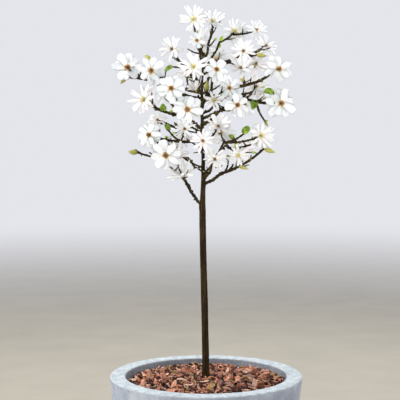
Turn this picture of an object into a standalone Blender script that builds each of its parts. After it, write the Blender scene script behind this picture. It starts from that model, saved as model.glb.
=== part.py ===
"""A star magnolia in flower, trained as a small standard tree, in a round grey pot.

Metres and degrees, +Z up. The origin is the middle of the pot's flat underside, and the
plant is seen first from -Y. An azimuth of 0 points to +X, 90 to +Y, and a rise of 90 up.
The pot, its soil and its bed of bark are turned solids. The trunk is one tapering limb
with a root flare, each bough another, and each spray of blossom is one solid: side twigs
branch from its stem by a seeded rule, and end in blooms, buds and leaves.
"""

import math
import random
from collections import namedtuple

import bmesh
import bpy
from mathutils import Vector
from mathutils.bvhtree import BVHTree

# Pot
POT_HEIGHT = 0.460
RIM_RADIUS = 0.290
LIP_WIDTH = 0.048
LIP_DEPTH = 0.055
LIP_ROUND = 0.005
COLLAR_SHARE = 0.39  # of the pot's height
COLLAR_TAPER = 0.018  # how much smaller its lower edge is than the rim
COLLAR_STEP = 0.015  # from its lower edge in to the body
BODY_TAPER = 0.030
FOOT_ROUND = 0.012
WALL = 0.022
FLOOR = 0.026
POT_SIDES = 40

# Soil and bark
CLEARANCE = 0.0003  # between neighbours
SOIL_TOP = 0.425
BARK_EDGE = 0.437
BARK_TOP = 0.454
BARK_RINGS = 5
BARK_LUMP = 0.003
CHIPS = 34
CHIP_LENGTH = (0.022, 0.036)
CHIP_SHAPE = (0.5, 0.22)  # width and thickness, as shares of the length
CHIP_TILT = 20
CHIP_TO_EDGE = 0.62  # its middle stays this share of its length inside the bed's edge
CHIP_UNEVEN = (0.7, 1.0)
BARK_SEED = 11

# Trunk: its reach above the bark, and its radius at heights above the bark
TRUNK_HEIGHT = 0.964
TRUNK_GIRTH = (
    (-0.029, 0.0155),
    (0.000, 0.0125),
    (0.040, 0.0110),
    (0.500, 0.0100),
    (0.620, 0.0068),
    (0.800, 0.0057),
    (0.860, 0.0050),
    (0.900, 0.0036),
    (0.964, 0.0028),
)
TRUNK_FOOT = Vector((-0.0010, 0.0, SOIL_TOP + CLEARANCE))
TRUNK_LEAN = -0.0095  # how far the crown end stands to the left of the foot
TRUNK_LEAN_HEIGHT = 0.52
TRUNK_BEND = (0.003, 6)  # to and fro, and how fast it turns with the height
TRUNK_SWAY = (0.002, 16)  # sideways, above the lean
TRUNK_FLARE = 0.030
TRUNK_RINGS = 20
TRUNK_SIDES = 8

# Limbs
LIMB_BOW = 0.06  # sag of a limb's middle, as a share of its length
LIMB_ZIGZAG = 0.022  # sideways kink at each joint, as a share of its length
BOUGH_RADIUS = 0.0040
BOUGH_TO_TRUNK = 0.8  # a bough is at most this share of the trunk's girth
LIMB_TAPER = 0.72
STEM_RADIUS = 0.0029
TWIG_RADIUS = 0.0023
TWIGLET_RADIUS = 0.0018
TWIGLETS = 2
TWIGLET_LENGTH = (0.025, 0.048)
LIMB_STEPS = 4
TWIG_STEPS = 3
TWIGLET_STEPS = 2
TWIG_FORK = (0.15, 0.8)  # where along the stem a side twig leaves it
TWIG_TURN = (25, 85)
TWIG_LIFT = (-30, 50)
TWIG_LENGTH = (0.055, 0.5)  # the least, and the most beyond it as a share of the stem's reach
BUD_TWIG = 0.6  # a twig that ends in a bud is shorter by this
TWIGLET_FORK = (0.3, 0.9)
TWIGLET_TURN = (30, 80)
TWIGLET_LIFT = (-35, 45)

# Blooms, buds and leaves
TEPALS = 8
TEPAL_LENGTH = 0.040
TEPAL_WIDTH = 0.017
TEPAL_THICKNESS = 0.0015
TEPAL_WIDEST = 0.62
TEPAL_TRIES = (1.0, 0.86, 0.72)  # shares of the length that are tried before one is skipped
TEPAL_TO_GAP = 0.78  # a tepal is at most this share of the space between its neighbours
TEPAL_UNEVEN = ((0.9, 1.1), (0.85, 1.1))  # in length and in width
TEPAL_JITTER = (4, 6)  # round the bloom, and up or down
TEPAL_STAGGER = 7  # every other tepal stands this much higher, the rest lower
CUP = (62, -58)  # how far the tepals of an upright cup rise, and the change with age
GAZE_RISE = (75, -70)  # how far the face of an upright cup looks up, and the change with age
GAZE_JITTER = (35, 12)  # of its azimuth and of its rise
GAZE_AND_TWIG = (0.8, 0.35)  # a bloom's axis follows both, in these shares
HEART_RADIUS = 0.0065
HEART_BELOW = 0.006
HEART_ABOVE = 0.005
HEART_EDGE = 0.002
BUD_LENGTH = 0.023
BUD_RADIUS = 0.0052
BUD_WIDEST = 0.4
END_BUD_LENGTH = 0.010
END_BUD_RADIUS = 0.0026
LEAF_LENGTH = 0.024
LEAF_WIDTH = 0.014
LEAF_THICKNESS = 0.0010
LEAF_WIDEST = 0.55
LEAF_FORK = (0.45, 0.8)
LEAF_UNEVEN = (0.85, 1.15)
SUNK = 0.004  # how far a bud or a leaf is sunk in its twig
SPACE_MARGIN = 0.0006  # kept free on each side between two sprays
WELD = 0.000005

Bough = namedtuple("Bough", "name height azimuth rise length")
Spray = namedtuple("Spray", "name on height azimuth rise reach tips leaves seed gaze age")

# Boughs: where they leave the trunk, above the bark, and where they go
BOUGHS = (
    Bough("low_left", 0.515, -145, 50, 0.080),
    Bough("low_right", 0.580, -15, 30, 0.060),
    Bough("inner_right", 0.605, -30, 55, 0.120),
    Bough("mid_left", 0.630, -155, 25, 0.070),
    Bough("front_left", 0.745, -115, 20, 0.085),
    Bough("high_left", 0.795, 180, -5, 0.085),
    Bough("far_left", 0.835, -150, 15, 0.130),
    Bough("mid_right", 0.755, -35, 35, 0.080),
    Bough("far_right", 0.775, -15, 30, 0.130),
    Bough("upper_right", 0.820, -5, 25, 0.110),
    Bough("top_left", 0.870, 145, 45, 0.085),
    Bough("top_right", 0.905, -25, 30, 0.070),
    Bough("crest_right", 0.920, 30, 55, 0.100),
    Bough("back_low_left", 0.615, 120, 25, 0.105),
    Bough("back_low_right", 0.645, 50, 25, 0.115),
    Bough("back_mid_left", 0.730, 120, 25, 0.135),
    Bough("back_mid_right", 0.790, 55, 25, 0.135),
    Bough("back_high_right", 0.875, 65, 30, 0.120),
)

# Sprays: the limb that carries each, the height of one that leaves the trunk itself, the
# stem's course, what the stem and each side twig end in, the leaves, the seed of the side
# twigs, the azimuth that its blooms face, and their age from 0, upright cups, to 1, wide
# open and turned to the side
BLOOM, BUD = "bloom", "bud"
SPRAYS = (
    Spray("low_left", "low_left", None, -120, 45, 0.040, (BLOOM, BUD), 0, 56304, 170, 0.3),
    Spray("low_right", "low_right", None, 0, 30, 0.150, (BUD, BLOOM, BUD), 0, 3041, -80, 0.6),
    Spray("low_front", "trunk", 0.590, -65, 40, 0.100, (BLOOM,), 0, 1, -75, 0.6),
    Spray("inner_right", "inner_right", None, 10, 10, 0.115, (BLOOM,), 1, 11203, -85, 0.6),
    Spray("mid_left", "mid_left", None, -165, 6, 0.140, (BUD, BLOOM, BLOOM), 0, 533965, -110, 0.9),
    Spray("front_low", "trunk", 0.675, -90, 15, 0.130, (BLOOM,) * 2, 0, 12671, -100, 0.3),
    Spray("left", "trunk", 0.710, -150, 5, 0.180, (BLOOM,) * 2, 1, 12179, -120, 0.9),
    Spray("left_upper", "trunk", 0.735, 170, 15, 0.140, (BLOOM,), 1, 1, -125, 0.6),
    Spray("front_left", "front_left", None, -115, 33, 0.150, (BLOOM,) * 2, 0, 34908, -95, 1.0),
    Spray("high_left", "high_left", None, 160, 25, 0.105, (BLOOM,) * 2, 1, 1585, -150, 0.6),
    Spray("far_left", "far_left", None, -165, 25, 0.120, (BLOOM, BLOOM, BUD, BUD), 0, 578382, -100, 0.95),
    Spray("front_high", "trunk", 0.850, -100, 27, 0.150, (BLOOM,), 0, 13197, -110, 0.25),
    Spray("front_right", "trunk", 0.810, -70, 40, 0.160, (BLOOM, BLOOM, BLOOM, BUD), 0, 798572, -85, 0.85),
    Spray("mid_right", "mid_right", None, -65, 5, 0.110, (BLOOM,) * 2, 1, 50266, -85, 0.75),
    Spray("right", "far_right", None, -20, -10, 0.130, (BLOOM,) * 2, 1, 14547, -60, 0.9),
    Spray("upper_right", "upper_right", None, -25, 20, 0.145, (BLOOM, BLOOM, BUD), 1, 34571, -80, 0.9),
    Spray("top_left", "top_left", None, 155, 50, 0.070, (BLOOM,), 0, 1, -125, 0.5),
    Spray("top_right", "top_right", None, 5, 20, 0.140, (BLOOM, BLOOM, BUD), 0, 3403, -70, 0.75),
    Spray("crest_right", "crest_right", None, 20, 35, 0.060, (BLOOM,) * 2, 0, 6967, -55, 0.6),
    Spray("leader_left", "trunk", TRUNK_HEIGHT, 175, 75, 0.107, (BLOOM,), 0, 16259, -105, 0.5),
    Spray("leader_front", "trunk", 0.940, -110, 50, 0.080, (BLOOM,), 0, 1, -95, 0.8),
    Spray("leader_right", "trunk", 0.940, 50, 70, 0.132, (BLOOM,) * 2, 0, 8753, 60, 0.2),
    Spray("back_low_left", "back_low_left", None, 140, 15, 0.095, (BLOOM,) * 3, 1, 6689, 110, 0.8),
    Spray("back_low_right", "back_low_right", None, 55, -10, 0.095, (BLOOM,) * 3, 0, 7867, 70, 0.8),
    Spray("back_mid_left", "back_mid_left", None, 120, 35, 0.135, (BLOOM,) * 2, 1, 6455, 120, 0.85),
    Spray("back_mid_right", "back_mid_right", None, 30, 10, 0.125, (BLOOM,) * 3, 1, 12023, 60, 0.85),
    Spray("back_high_left", "trunk", 0.850, 140, 20, 0.200, (BLOOM,) * 2, 1, 16345, 130, 0.6),
    Spray("back_high_right", "back_high_right", None, 20, 25, 0.095, (BLOOM,) * 3, 1, 164, 85, 0.7),
)


def clear_scene():
    for obj in list(bpy.data.objects):
        bpy.data.objects.remove(obj, do_unlink=True)


def material(name, colour, roughness):
    made = bpy.data.materials.new(name)
    made.use_nodes = True
    shader = made.node_tree.nodes["Principled BSDF"]
    shader.inputs["Base Color"].default_value = (*colour, 1.0)
    shader.inputs["Roughness"].default_value = roughness
    shader.inputs["Metallic"].default_value = 0.0
    made.diffuse_color = (*colour, 1.0)
    return made


def add_solid(name, corners, faces, finish=None, smooth=None):
    """An object from corner points and faces, turned outwards, smooth below an edge angle."""
    mesh = bpy.data.meshes.new(name)
    mesh.from_pydata([tuple(corner) for corner in corners], [], faces)
    work = bmesh.new()
    work.from_mesh(mesh)
    bmesh.ops.recalc_face_normals(work, faces=work.faces)
    work.to_mesh(mesh)
    work.free()
    obj = bpy.data.objects.new(name, mesh)
    bpy.context.scene.collection.objects.link(obj)
    if finish:
        mesh.materials.append(finish)
    if smooth:
        soften(mesh, smooth)
    return obj


def soften(mesh, angle):
    mesh.shade_smooth()
    mesh.set_sharp_from_angle(angle=math.radians(angle))


def turned(name, outline, sides, finish):
    """A solid of revolution from (radius, height) points that start and end on the axis."""
    work = bmesh.new()
    points = [work.verts.new((radius, 0.0, height)) for radius, height in outline]
    edges = [work.edges.new(pair) for pair in zip(points, points[1:])]
    around = {"axis": (0, 0, 1), "cent": (0, 0, 0), "angle": math.tau, "steps": sides}
    bmesh.ops.spin(work, geom=points + edges, use_merge=True, **around)
    bmesh.ops.remove_doubles(work, verts=work.verts, dist=WELD)
    bmesh.ops.recalc_face_normals(work, faces=work.faces)
    mesh = bpy.data.meshes.new(name)
    work.to_mesh(mesh)
    work.free()
    mesh.materials.append(finish)
    soften(mesh, 30)
    obj = bpy.data.objects.new(name, mesh)
    bpy.context.scene.collection.objects.link(obj)
    return obj


def arc(centre, radius, start, end, steps):
    """Points round part of a circle, at angles from the outward direction."""
    angles = [math.radians(start + (end - start) * i / steps) for i in range(steps + 1)]
    return [(centre[0] + radius * math.cos(a), centre[1] + radius * math.sin(a)) for a in angles]


# Pot, soil and bark

MOUTH_RADIUS = RIM_RADIUS - LIP_WIDTH
COLLAR_BASE = POT_HEIGHT * (1 - COLLAR_SHARE)
COLLAR_RADIUS = RIM_RADIUS - COLLAR_TAPER
BODY_RADIUS = COLLAR_RADIUS - COLLAR_STEP
FOOT_RADIUS = BODY_RADIUS - BODY_TAPER


def inner_wall(gap):
    """The pot's inside from the floor's edge up to the mouth, drawn in by a gap."""
    lip_base = POT_HEIGHT - LIP_DEPTH
    wall_top = RIM_RADIUS - COLLAR_TAPER * 0.4 - WALL
    overhang = wall_top - MOUTH_RADIUS
    shape = (
        (FOOT_RADIUS - WALL, FLOOR),
        (BODY_RADIUS - WALL, COLLAR_BASE - COLLAR_STEP),
        (wall_top, lip_base - overhang),
        (MOUTH_RADIUS, lip_base),
    )
    return [(radius - gap, height) for radius, height in shape]


def make_pot(finish):
    corner = POT_HEIGHT - LIP_ROUND
    outline = [(0.0, 0.0)]
    outline += arc((FOOT_RADIUS - FOOT_ROUND, FOOT_ROUND), FOOT_ROUND, -90, -6, 3)
    outline += [(BODY_RADIUS, COLLAR_BASE - COLLAR_STEP * 0.5), (COLLAR_RADIUS, COLLAR_BASE)]
    outline += arc((RIM_RADIUS - LIP_ROUND, corner), LIP_ROUND, 0, 90, 3)
    outline += arc((MOUTH_RADIUS + LIP_ROUND, corner), LIP_ROUND, 90, 180, 3)
    outline += reversed(inner_wall(0.0))
    outline += [(0.0, FLOOR)]
    return turned("pot", outline, POT_SIDES, finish)


def make_soil(finish):
    side = inner_wall(1.6 * CLEARANCE)
    outline = [(0.0, FLOOR + CLEARANCE), (side[0][0], FLOOR + CLEARANCE)]
    outline += side[1:]
    outline += [(side[-1][0], SOIL_TOP), (0.0, SOIL_TOP)]
    return turned("potting_soil", outline, POT_SIDES, finish)


def bark_height(radius):
    """The bark lies in a low mound round the trunk, and levels out towards the pot's lip."""
    return BARK_EDGE + (BARK_TOP - BARK_EDGE) * (1 - (radius / MOUTH_RADIUS) ** 2)


def make_bark(finish, trunk_space):
    draw = random.Random(BARK_SEED)
    edge = MOUTH_RADIUS - 1.6 * CLEARANCE
    base = SOIL_TOP + CLEARANCE
    sides = POT_SIDES // 2
    corners = [(0.0, 0.0, BARK_TOP), (0.0, 0.0, base)]
    faces = []
    for ring in range(1, BARK_RINGS + 1):
        radius = edge * ring / BARK_RINGS
        for side in range(sides):
            angle = math.tau * side / sides
            lump = draw.uniform(-BARK_LUMP, BARK_LUMP)
            corners.append((radius * math.cos(angle), radius * math.sin(angle), bark_height(radius) + lump))
    for side in range(sides):
        angle = math.tau * side / sides
        corners.append((edge * math.cos(angle), edge * math.sin(angle), base))
    for side in range(sides):
        after = (side + 1) % sides
        faces.append((0, 2 + side, 2 + after))
        for ring in range(BARK_RINGS):
            low, high = 2 + ring * sides, 2 + (ring + 1) * sides
            faces.append((low + side, high + side, high + after, low + after))
        last = 2 + BARK_RINGS * sides
        faces.append((1, last + after, last + side))
    bed = add_solid("bark_mulch", corners, faces, finish)
    chips = [chip(draw, edge) for _ in range(CHIPS)]
    fuse(bed, chips, trunk_space)
    return bed


def chip(draw, edge):
    """A flat splinter of bark, half sunk in the bed, with uneven corners."""
    length = draw.uniform(*CHIP_LENGTH)
    half = Vector((length, length * CHIP_SHAPE[0], length * CHIP_SHAPE[1])) / 2
    out = math.sqrt(draw.uniform(0.02, 1.0)) * (edge - CHIP_TO_EDGE * length)
    place, turn = math.radians(draw.uniform(0, 360)), math.radians(draw.uniform(0, 360))
    tilt = [math.radians(draw.uniform(-CHIP_TILT, CHIP_TILT)) for _ in range(2)]
    along = Vector((math.cos(turn), math.sin(turn), math.tan(tilt[0]))).normalized()
    up = Vector((0, 0, 1)) + math.tan(tilt[1]) * Vector((-math.sin(turn), math.cos(turn), 0))
    across = up.cross(along).normalized()
    up = along.cross(across)
    middle = Vector((out * math.cos(place), out * math.sin(place), bark_height(out) + BARK_LUMP))
    corners = []
    for x in (-half.x, half.x):
        for y in (-half.y, half.y):
            for z in (-half.z, half.z):
                uneven = [draw.uniform(*CHIP_UNEVEN) for _ in range(3)]
                corners.append(middle + along * x * uneven[0] + across * y * uneven[1] + up * z * uneven[2])
    faces = [(0, 1, 3, 2), (4, 6, 7, 5), (0, 4, 5, 1), (2, 3, 7, 6), (0, 2, 6, 4), (1, 5, 7, 3)]
    return corners, faces


# Limbs


def heading(azimuth, rise):
    turn, lift = math.radians(azimuth), math.radians(rise)
    return Vector((math.cos(turn) * math.cos(lift), math.sin(turn) * math.cos(lift), math.sin(lift)))


def trunk_point(height):
    """The trunk leans a little to the left below its first bough, then runs up with a slight sway."""
    climb = min(1.0, max(0.0, height / TRUNK_LEAN_HEIGHT))
    lean = TRUNK_LEAN * climb * climb * (3 - 2 * climb)
    sway = TRUNK_SWAY[0] * math.sin(TRUNK_SWAY[1] * max(0.0, height - TRUNK_LEAN_HEIGHT))
    bend = TRUNK_BEND[0] * math.sin(TRUNK_BEND[1] * height)
    return Vector((TRUNK_FOOT.x + lean + sway, bend, BARK_TOP + height))


def trunk_radius(height):
    for (low, wide), (high, narrow) in zip(TRUNK_GIRTH, TRUNK_GIRTH[1:]):
        if height <= high:
            return wide + (narrow - wide) * (max(height, low) - low) / (high - low)
    return TRUNK_GIRTH[-1][1]


def limb_path(start, azimuth, rise, length, steps):
    """A chord whose middle hangs below it, with a small sideways kink at each joint."""
    out = heading(azimuth, rise)
    up = heading(azimuth, rise + 90)
    side = out.cross(up)
    path = []
    for i in range(steps + 1):
        share = i / steps
        kink = LIMB_ZIGZAG * length * (1 if i % 2 else -1) if 0 < i < steps else 0.0
        sag = LIMB_BOW * length * math.sin(math.pi * share)
        path.append(start + out * length * share - up * sag + side * kink)
    return path


def point_on(path, share):
    place = share * (len(path) - 1)
    i = min(int(place), len(path) - 2)
    return path[i].lerp(path[i + 1], place - i)


def limb(path, radii, sides, facing=None):
    """A closed tapering limb: a ring of corners round each point, and a flat cap at each end."""
    corners, faces = [], []
    last = len(path) - 1
    side = Vector((0.31, 0.17, 0.93))
    for i, (point, radius) in enumerate(zip(path, radii)):
        along = (path[min(i + 1, last)] - path[max(i - 1, 0)]).normalized()
        if facing and i == 0:
            along = facing
        side = (side - along * side.dot(along)).normalized()
        across = along.cross(side)
        for k in range(sides):
            angle = math.tau * k / sides
            corners.append(point + (side * math.cos(angle) + across * math.sin(angle)) * radius)
    for i in range(last):
        for k in range(sides):
            a, b = i * sides + k, i * sides + (k + 1) % sides
            faces.append((a, b, b + sides, a + sides))
    faces.append(tuple(reversed(range(sides))))
    faces.append(tuple(range(last * sides, (last + 1) * sides)))
    return corners, faces


def tapered(first, share, count):
    return [first * (1 + (share - 1) * i / (count - 1)) for i in range(count)]


def trunk_shape(extra):
    """The trunk's rings, or with an extra radius the space that its neighbours keep clear of."""
    low = TRUNK_FOOT.z - BARK_TOP
    stretch = (TRUNK_HEIGHT - low - TRUNK_FLARE) / TRUNK_RINGS
    heights = [low, low + TRUNK_FLARE / 2]
    heights += [low + TRUNK_FLARE + stretch * i for i in range(TRUNK_RINGS + 1)]
    path = [trunk_point(height) for height in heights]
    radii = [trunk_radius(height) + extra for height in heights]
    if extra:
        path.insert(0, path[0] - Vector((0.0, 0.0, FOOT_ROUND)))
        radii.insert(0, radii[0])
        path[-1].z += extra
    return limb(path, radii, TRUNK_SIDES)


def bough_radius(bough):
    return min(BOUGH_RADIUS, BOUGH_TO_TRUNK * trunk_radius(bough.height))


def make_bough(bough, finish, trunk_space):
    path = bough_path(bough)
    radii = tapered(bough_radius(bough), LIMB_TAPER, len(path))
    obj = add_solid(bough.name + "_bough", *limb(path, radii, 6), finish, smooth=40)
    cut(obj, trunk_space)
    return obj


def bough_path(bough):
    return limb_path(trunk_point(bough.height), bough.azimuth, bough.rise, bough.length, LIMB_STEPS)


# Joining


def cut(obj, space):
    change = obj.modifiers.new("clear of the trunk", "BOOLEAN")
    change.operation = "DIFFERENCE"
    change.object = space
    settle(obj)


def fuse(obj, pieces, space=None):
    """Joins pieces to an object in one union, keeps its one outer body, and cuts it clear of a space."""
    group = bpy.data.collections.new("pieces")
    for corners, faces in pieces:
        piece = add_solid("piece", corners, faces)
        bpy.context.scene.collection.objects.unlink(piece)
        group.objects.link(piece)
    change = obj.modifiers.new("joined", "BOOLEAN")
    change.operation = "UNION"
    change.operand_type = "COLLECTION"
    change.collection = group
    bpy.context.scene.collection.children.link(group)
    settle(obj)
    for piece in list(group.objects):
        bpy.data.objects.remove(piece, do_unlink=True)
    bpy.data.collections.remove(group)
    if space:
        cut(obj, space)
    keep_outer_body(obj.data)


def settle(obj):
    """Applies an object's modifiers."""
    bpy.context.view_layer.update()
    shaped = obj.evaluated_get(bpy.context.evaluated_depsgraph_get())
    mesh = bpy.data.meshes.new_from_object(shaped)
    obj.modifiers.clear()
    old = obj.data
    obj.data = mesh
    mesh.name = obj.name
    bpy.data.meshes.remove(old)


def keep_outer_body(mesh):
    """Fills sealed hollows and drops loose scraps: only the shell of the largest volume stays."""
    work = bmesh.new()
    work.from_mesh(mesh)
    bmesh.ops.triangulate(work, faces=work.faces)
    bmesh.ops.dissolve_degenerate(work, dist=WELD, edges=work.edges)
    bmesh.ops.triangulate(work, faces=work.faces)
    shells = []
    left = set(work.faces)
    while left:
        shell, edge = set(), [left.pop()]
        while edge:
            face = edge.pop()
            shell.add(face)
            beside = {other for line in face.edges for other in line.link_faces}
            edge += beside & left
            left -= beside
        shells.append(shell)
    kept = max(shells, key=shell_volume)
    bmesh.ops.delete(work, geom=[face for face in work.faces if face not in kept], context="FACES")
    work.to_mesh(mesh)
    work.free()


def shell_volume(shell):
    total = 0.0
    for face in shell:
        a, b, c = (corner.co for corner in face.verts)
        total += a.dot(b.cross(c)) / 6
    return total


# Blossom


def spindle(root, tip, face, half_width, half_depth, sides, widest, swell=0.0):
    """A closed body with a point at each end and a ring of corners between, swollen by a margin."""
    along = (tip - root).normalized()
    side = along.cross(face).normalized()
    up = side.cross(along)
    middle = root.lerp(tip, widest)
    corners = [root - along * swell, tip + along * swell]
    for k in range(sides):
        angle = math.tau * k / sides
        outward = side * math.cos(angle) * (half_width + swell)
        corners.append(middle + outward + up * math.sin(angle) * (half_depth + swell))
    faces = []
    for k in range(sides):
        a, b = 2 + k, 2 + (k + 1) % sides
        faces += [(a, b, 0), (b, a, 1)]
    return corners, faces


class Growth:
    """One spray: its stem, its side twigs, and where each ends."""

    def __init__(self, spray):
        self.spray = spray
        draw = random.Random(spray.seed)
        start, self.facing, self.radius = self.foot()
        self.stem = limb_path(start, spray.azimuth, spray.rise, spray.reach, LIMB_STEPS)
        self.twigs = [(spray.tips[0], self.stem)]
        for kind in spray.tips[1:]:
            start = point_on(self.stem, draw.uniform(*TWIG_FORK))
            azimuth = spray.azimuth + draw.choice((-1, 1)) * draw.uniform(*TWIG_TURN)
            rise = spray.rise + draw.uniform(*TWIG_LIFT)
            length = TWIG_LENGTH[0] + TWIG_LENGTH[1] * draw.random() * spray.reach
            if kind == BUD:
                length *= BUD_TWIG
            self.twigs.append((kind, limb_path(start, azimuth, rise, length, TWIG_STEPS)))
        self.blooms = [(path[-1], path) for kind, path in self.twigs if kind == BLOOM]

    def foot(self):
        """Where the stem starts, what it faces, and how thick it is there."""
        spray = self.spray
        if spray.on != "trunk":
            bough = next(b for b in BOUGHS if b.name == spray.on)
            path = bough_path(bough)
            facing = (path[-1] - path[-2]).normalized()
            return path[-1] + facing * CLEARANCE, facing, bough_radius(bough) * LIMB_TAPER
        radius = min(STEM_RADIUS, BOUGH_TO_TRUNK * trunk_radius(spray.height))
        start = trunk_point(spray.height)
        if spray.height < TRUNK_HEIGHT:
            return start, None, radius
        facing = (start - trunk_point(TRUNK_HEIGHT - 0.01)).normalized()
        return start + facing * CLEARANCE, facing, radius

    def wood(self):
        """The stem and its side twigs as three-sided limbs."""
        radii = tapered(self.radius, LIMB_TAPER, len(self.stem))
        shapes = [limb(self.stem, radii, 3, self.facing)]
        for _, path in self.twigs[1:]:
            shapes.append(limb(path, tapered(TWIG_RADIUS, LIMB_TAPER, len(path)), 3))
        return shapes

    def twiglets(self):
        """Short bare side twigs, each with a small bud at its end."""
        draw = random.Random(self.spray.seed + 7)
        for _ in range(TWIGLETS):
            start = point_on(self.stem, draw.uniform(*TWIGLET_FORK))
            azimuth = self.spray.azimuth + draw.choice((-1, 1)) * draw.uniform(*TWIGLET_TURN)
            rise = self.spray.rise + draw.uniform(*TWIGLET_LIFT)
            path = limb_path(start, azimuth, rise, draw.uniform(*TWIGLET_LENGTH), TWIGLET_STEPS)
            along = (path[-1] - path[-2]).normalized()
            face = along.orthogonal()
            tip = path[-1] + along * END_BUD_LENGTH
            twig = limb(path, tapered(TWIGLET_RADIUS, LIMB_TAPER, len(path)), 3)
            bud = spindle(path[-1] - along * SUNK, tip, face, END_BUD_RADIUS, END_BUD_RADIUS, 4, 0.5)
            beyond_stem = path[0].lerp(path[-1], 0.3)
            yield [twig, bud], spindle(beyond_stem, tip, face, SUNK, SUNK, 4, 0.6)

    def buds(self):
        for kind, path in self.twigs:
            if kind == BUD:
                along = (path[-1] - path[-2]).normalized()
                shape = BUD_RADIUS, BUD_RADIUS, 6, BUD_WIDEST
                ends = path[-1] - along * SUNK, path[-1] + along * (BUD_LENGTH - SUNK)
                face = along.orthogonal()
                yield [spindle(*ends, face, *shape)], spindle(*ends, face, *shape, SPACE_MARGIN)

    def leaves(self):
        draw = random.Random(self.spray.seed + 13)
        for _ in range(self.spray.leaves):
            root = point_on(self.stem, draw.uniform(*LEAF_FORK))
            out = heading(self.spray.azimuth + draw.uniform(-90, 90), draw.uniform(0, 60))
            face = heading(draw.uniform(-180, 180), 60)
            tip = root + out * LEAF_LENGTH * draw.uniform(*LEAF_UNEVEN)
            shape = LEAF_WIDTH / 2, LEAF_THICKNESS / 2, 4, LEAF_WIDEST
            room = spindle(root + out * SUNK, tip, face, *shape, SPACE_MARGIN)
            yield [spindle(root, tip, face, *shape)], room

    def bloom(self, number, fits):
        """One bloom as a closed star. A tepal that fits at no length is left out."""
        spray = self.spray
        centre, path = self.blooms[number]
        draw = random.Random(spray.seed * 10 + number)
        twig = (path[-1] - path[-2]).normalized()
        turn, lift = (draw.uniform(-jitter, jitter) for jitter in GAZE_JITTER)
        gaze = heading(spray.gaze + turn, GAZE_RISE[0] + GAZE_RISE[1] * spray.age + lift)
        axis = (gaze * GAZE_AND_TWIG[0] + twig * GAZE_AND_TWIG[1]).normalized()
        first = axis.orthogonal().normalized()
        second = axis.cross(first)
        cup = CUP[0] + CUP[1] * spray.age
        start = draw.uniform(0, 360)
        tepals, valleys = [], []
        for k in range(TEPALS):
            turn, lift = (draw.uniform(-jitter, jitter) for jitter in TEPAL_JITTER)
            turn = math.radians(start + 360 * k / TEPALS + turn)
            lift = math.radians(cup + lift + (TEPAL_STAGGER if k % 2 else -TEPAL_STAGGER))
            length, width = (draw.uniform(*uneven) for uneven in TEPAL_UNEVEN)
            length *= TEPAL_LENGTH
            room_beside = math.tau * TEPAL_WIDEST * length * math.cos(lift) / TEPALS
            width = min(TEPAL_WIDTH * width, TEPAL_TO_GAP * room_beside)
            out = first * math.cos(turn) + second * math.sin(turn)
            along = out * math.cos(lift) + axis * math.sin(lift)
            face = axis * math.cos(lift) - out * math.sin(lift)
            chosen = None
            for share in TEPAL_TRIES:
                tip = centre + along * length * share
                half = width / 2 * share
                room = spindle(centre, tip, face, half, TEPAL_THICKNESS / 2, 4, TEPAL_WIDEST, SPACE_MARGIN)
                if not chosen and fits(centre, room):
                    middle = centre.lerp(tip, TEPAL_WIDEST)
                    across = along.cross(face) * half
                    thick = face * TEPAL_THICKNESS / 2
                    chosen = tip, middle + across, middle - across, middle + thick, middle - thick
            tepals.append(chosen)
            after = math.radians(start + 360 * (k + 0.5) / TEPALS)
            rise = math.radians(cup)
            out = first * math.cos(after) + second * math.sin(after)
            valleys.append(centre + (out * math.cos(rise) + axis * math.sin(rise)) * HEART_RADIUS)
        return star(centre, axis, tepals, valleys)


def star(centre, axis, tepals, valleys):
    """A closed body: the heart's top and bottom, two corners in each valley between two tepals, and for
    each tepal its tip, its two edges and the middle of its upper and lower side."""
    count = len(tepals)
    corners = [centre + axis * HEART_ABOVE, centre - axis * HEART_BELOW]
    for valley in valleys:
        corners += [valley + axis * HEART_EDGE, valley - axis * HEART_EDGE]
    faces = []
    for k, tepal in enumerate(tepals):
        before, after = 2 + 2 * ((k - 1) % count), 2 + 2 * k
        if not tepal:
            faces += [(0, before, after), (1, after + 1, before + 1)]
            faces += [(before, before + 1, after + 1, after)]
            continue
        tip, left, right, above, below = range(len(corners), len(corners) + 5)
        corners += tepal
        faces += [(0, before, above), (0, above, after)]
        faces += [(before, left, above), (above, right, after), (left, tip, above), (above, tip, right)]
        faces += [(1, below, before + 1), (1, after + 1, below)]
        faces += [(before + 1, below, left), (below, after + 1, right)]
        faces += [(left, below, tip), (below, right, tip)]
        faces += [(before, before + 1, left), (after, right, after + 1)]
    return corners, faces


def tree_of(shapes):
    corners, faces = [], []
    for points, polygons in shapes:
        faces += [[len(corners) + i for i in polygon] for polygon in polygons]
        corners += points
    return BVHTree.FromPolygons(corners, faces)


class Space:
    """What each spray keeps clear of: the limbs, the other sprays' wood, buds and leaves, and, for a
    bloom, everything that lies nearer to another spray's bloom than to its own."""

    def __init__(self, growths, limbs):
        self.limbs = tree_of(limbs)
        self.taken = [(growth, tree_of(growth.wood())) for growth in growths]
        self.hearts = [(growth, centre) for growth in growths for centre, _ in growth.blooms]

    def free(self, growth, room):
        tree = tree_of([room])
        others = [taken for owner, taken in self.taken if owner is not growth]
        return not any(tree.overlap(taken) for taken in [self.limbs, *others])

    def fits(self, growth, centre, room):
        for owner, heart in self.hearts:
            way = heart - centre
            furthest = max((corner - centre).dot(way) for corner in room[0])
            if owner is not growth and furthest > way.length_squared / 2:
                return False
        return self.free(growth, room)

    def take(self, growth, shapes):
        self.taken.append((growth, tree_of(shapes)))


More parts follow.
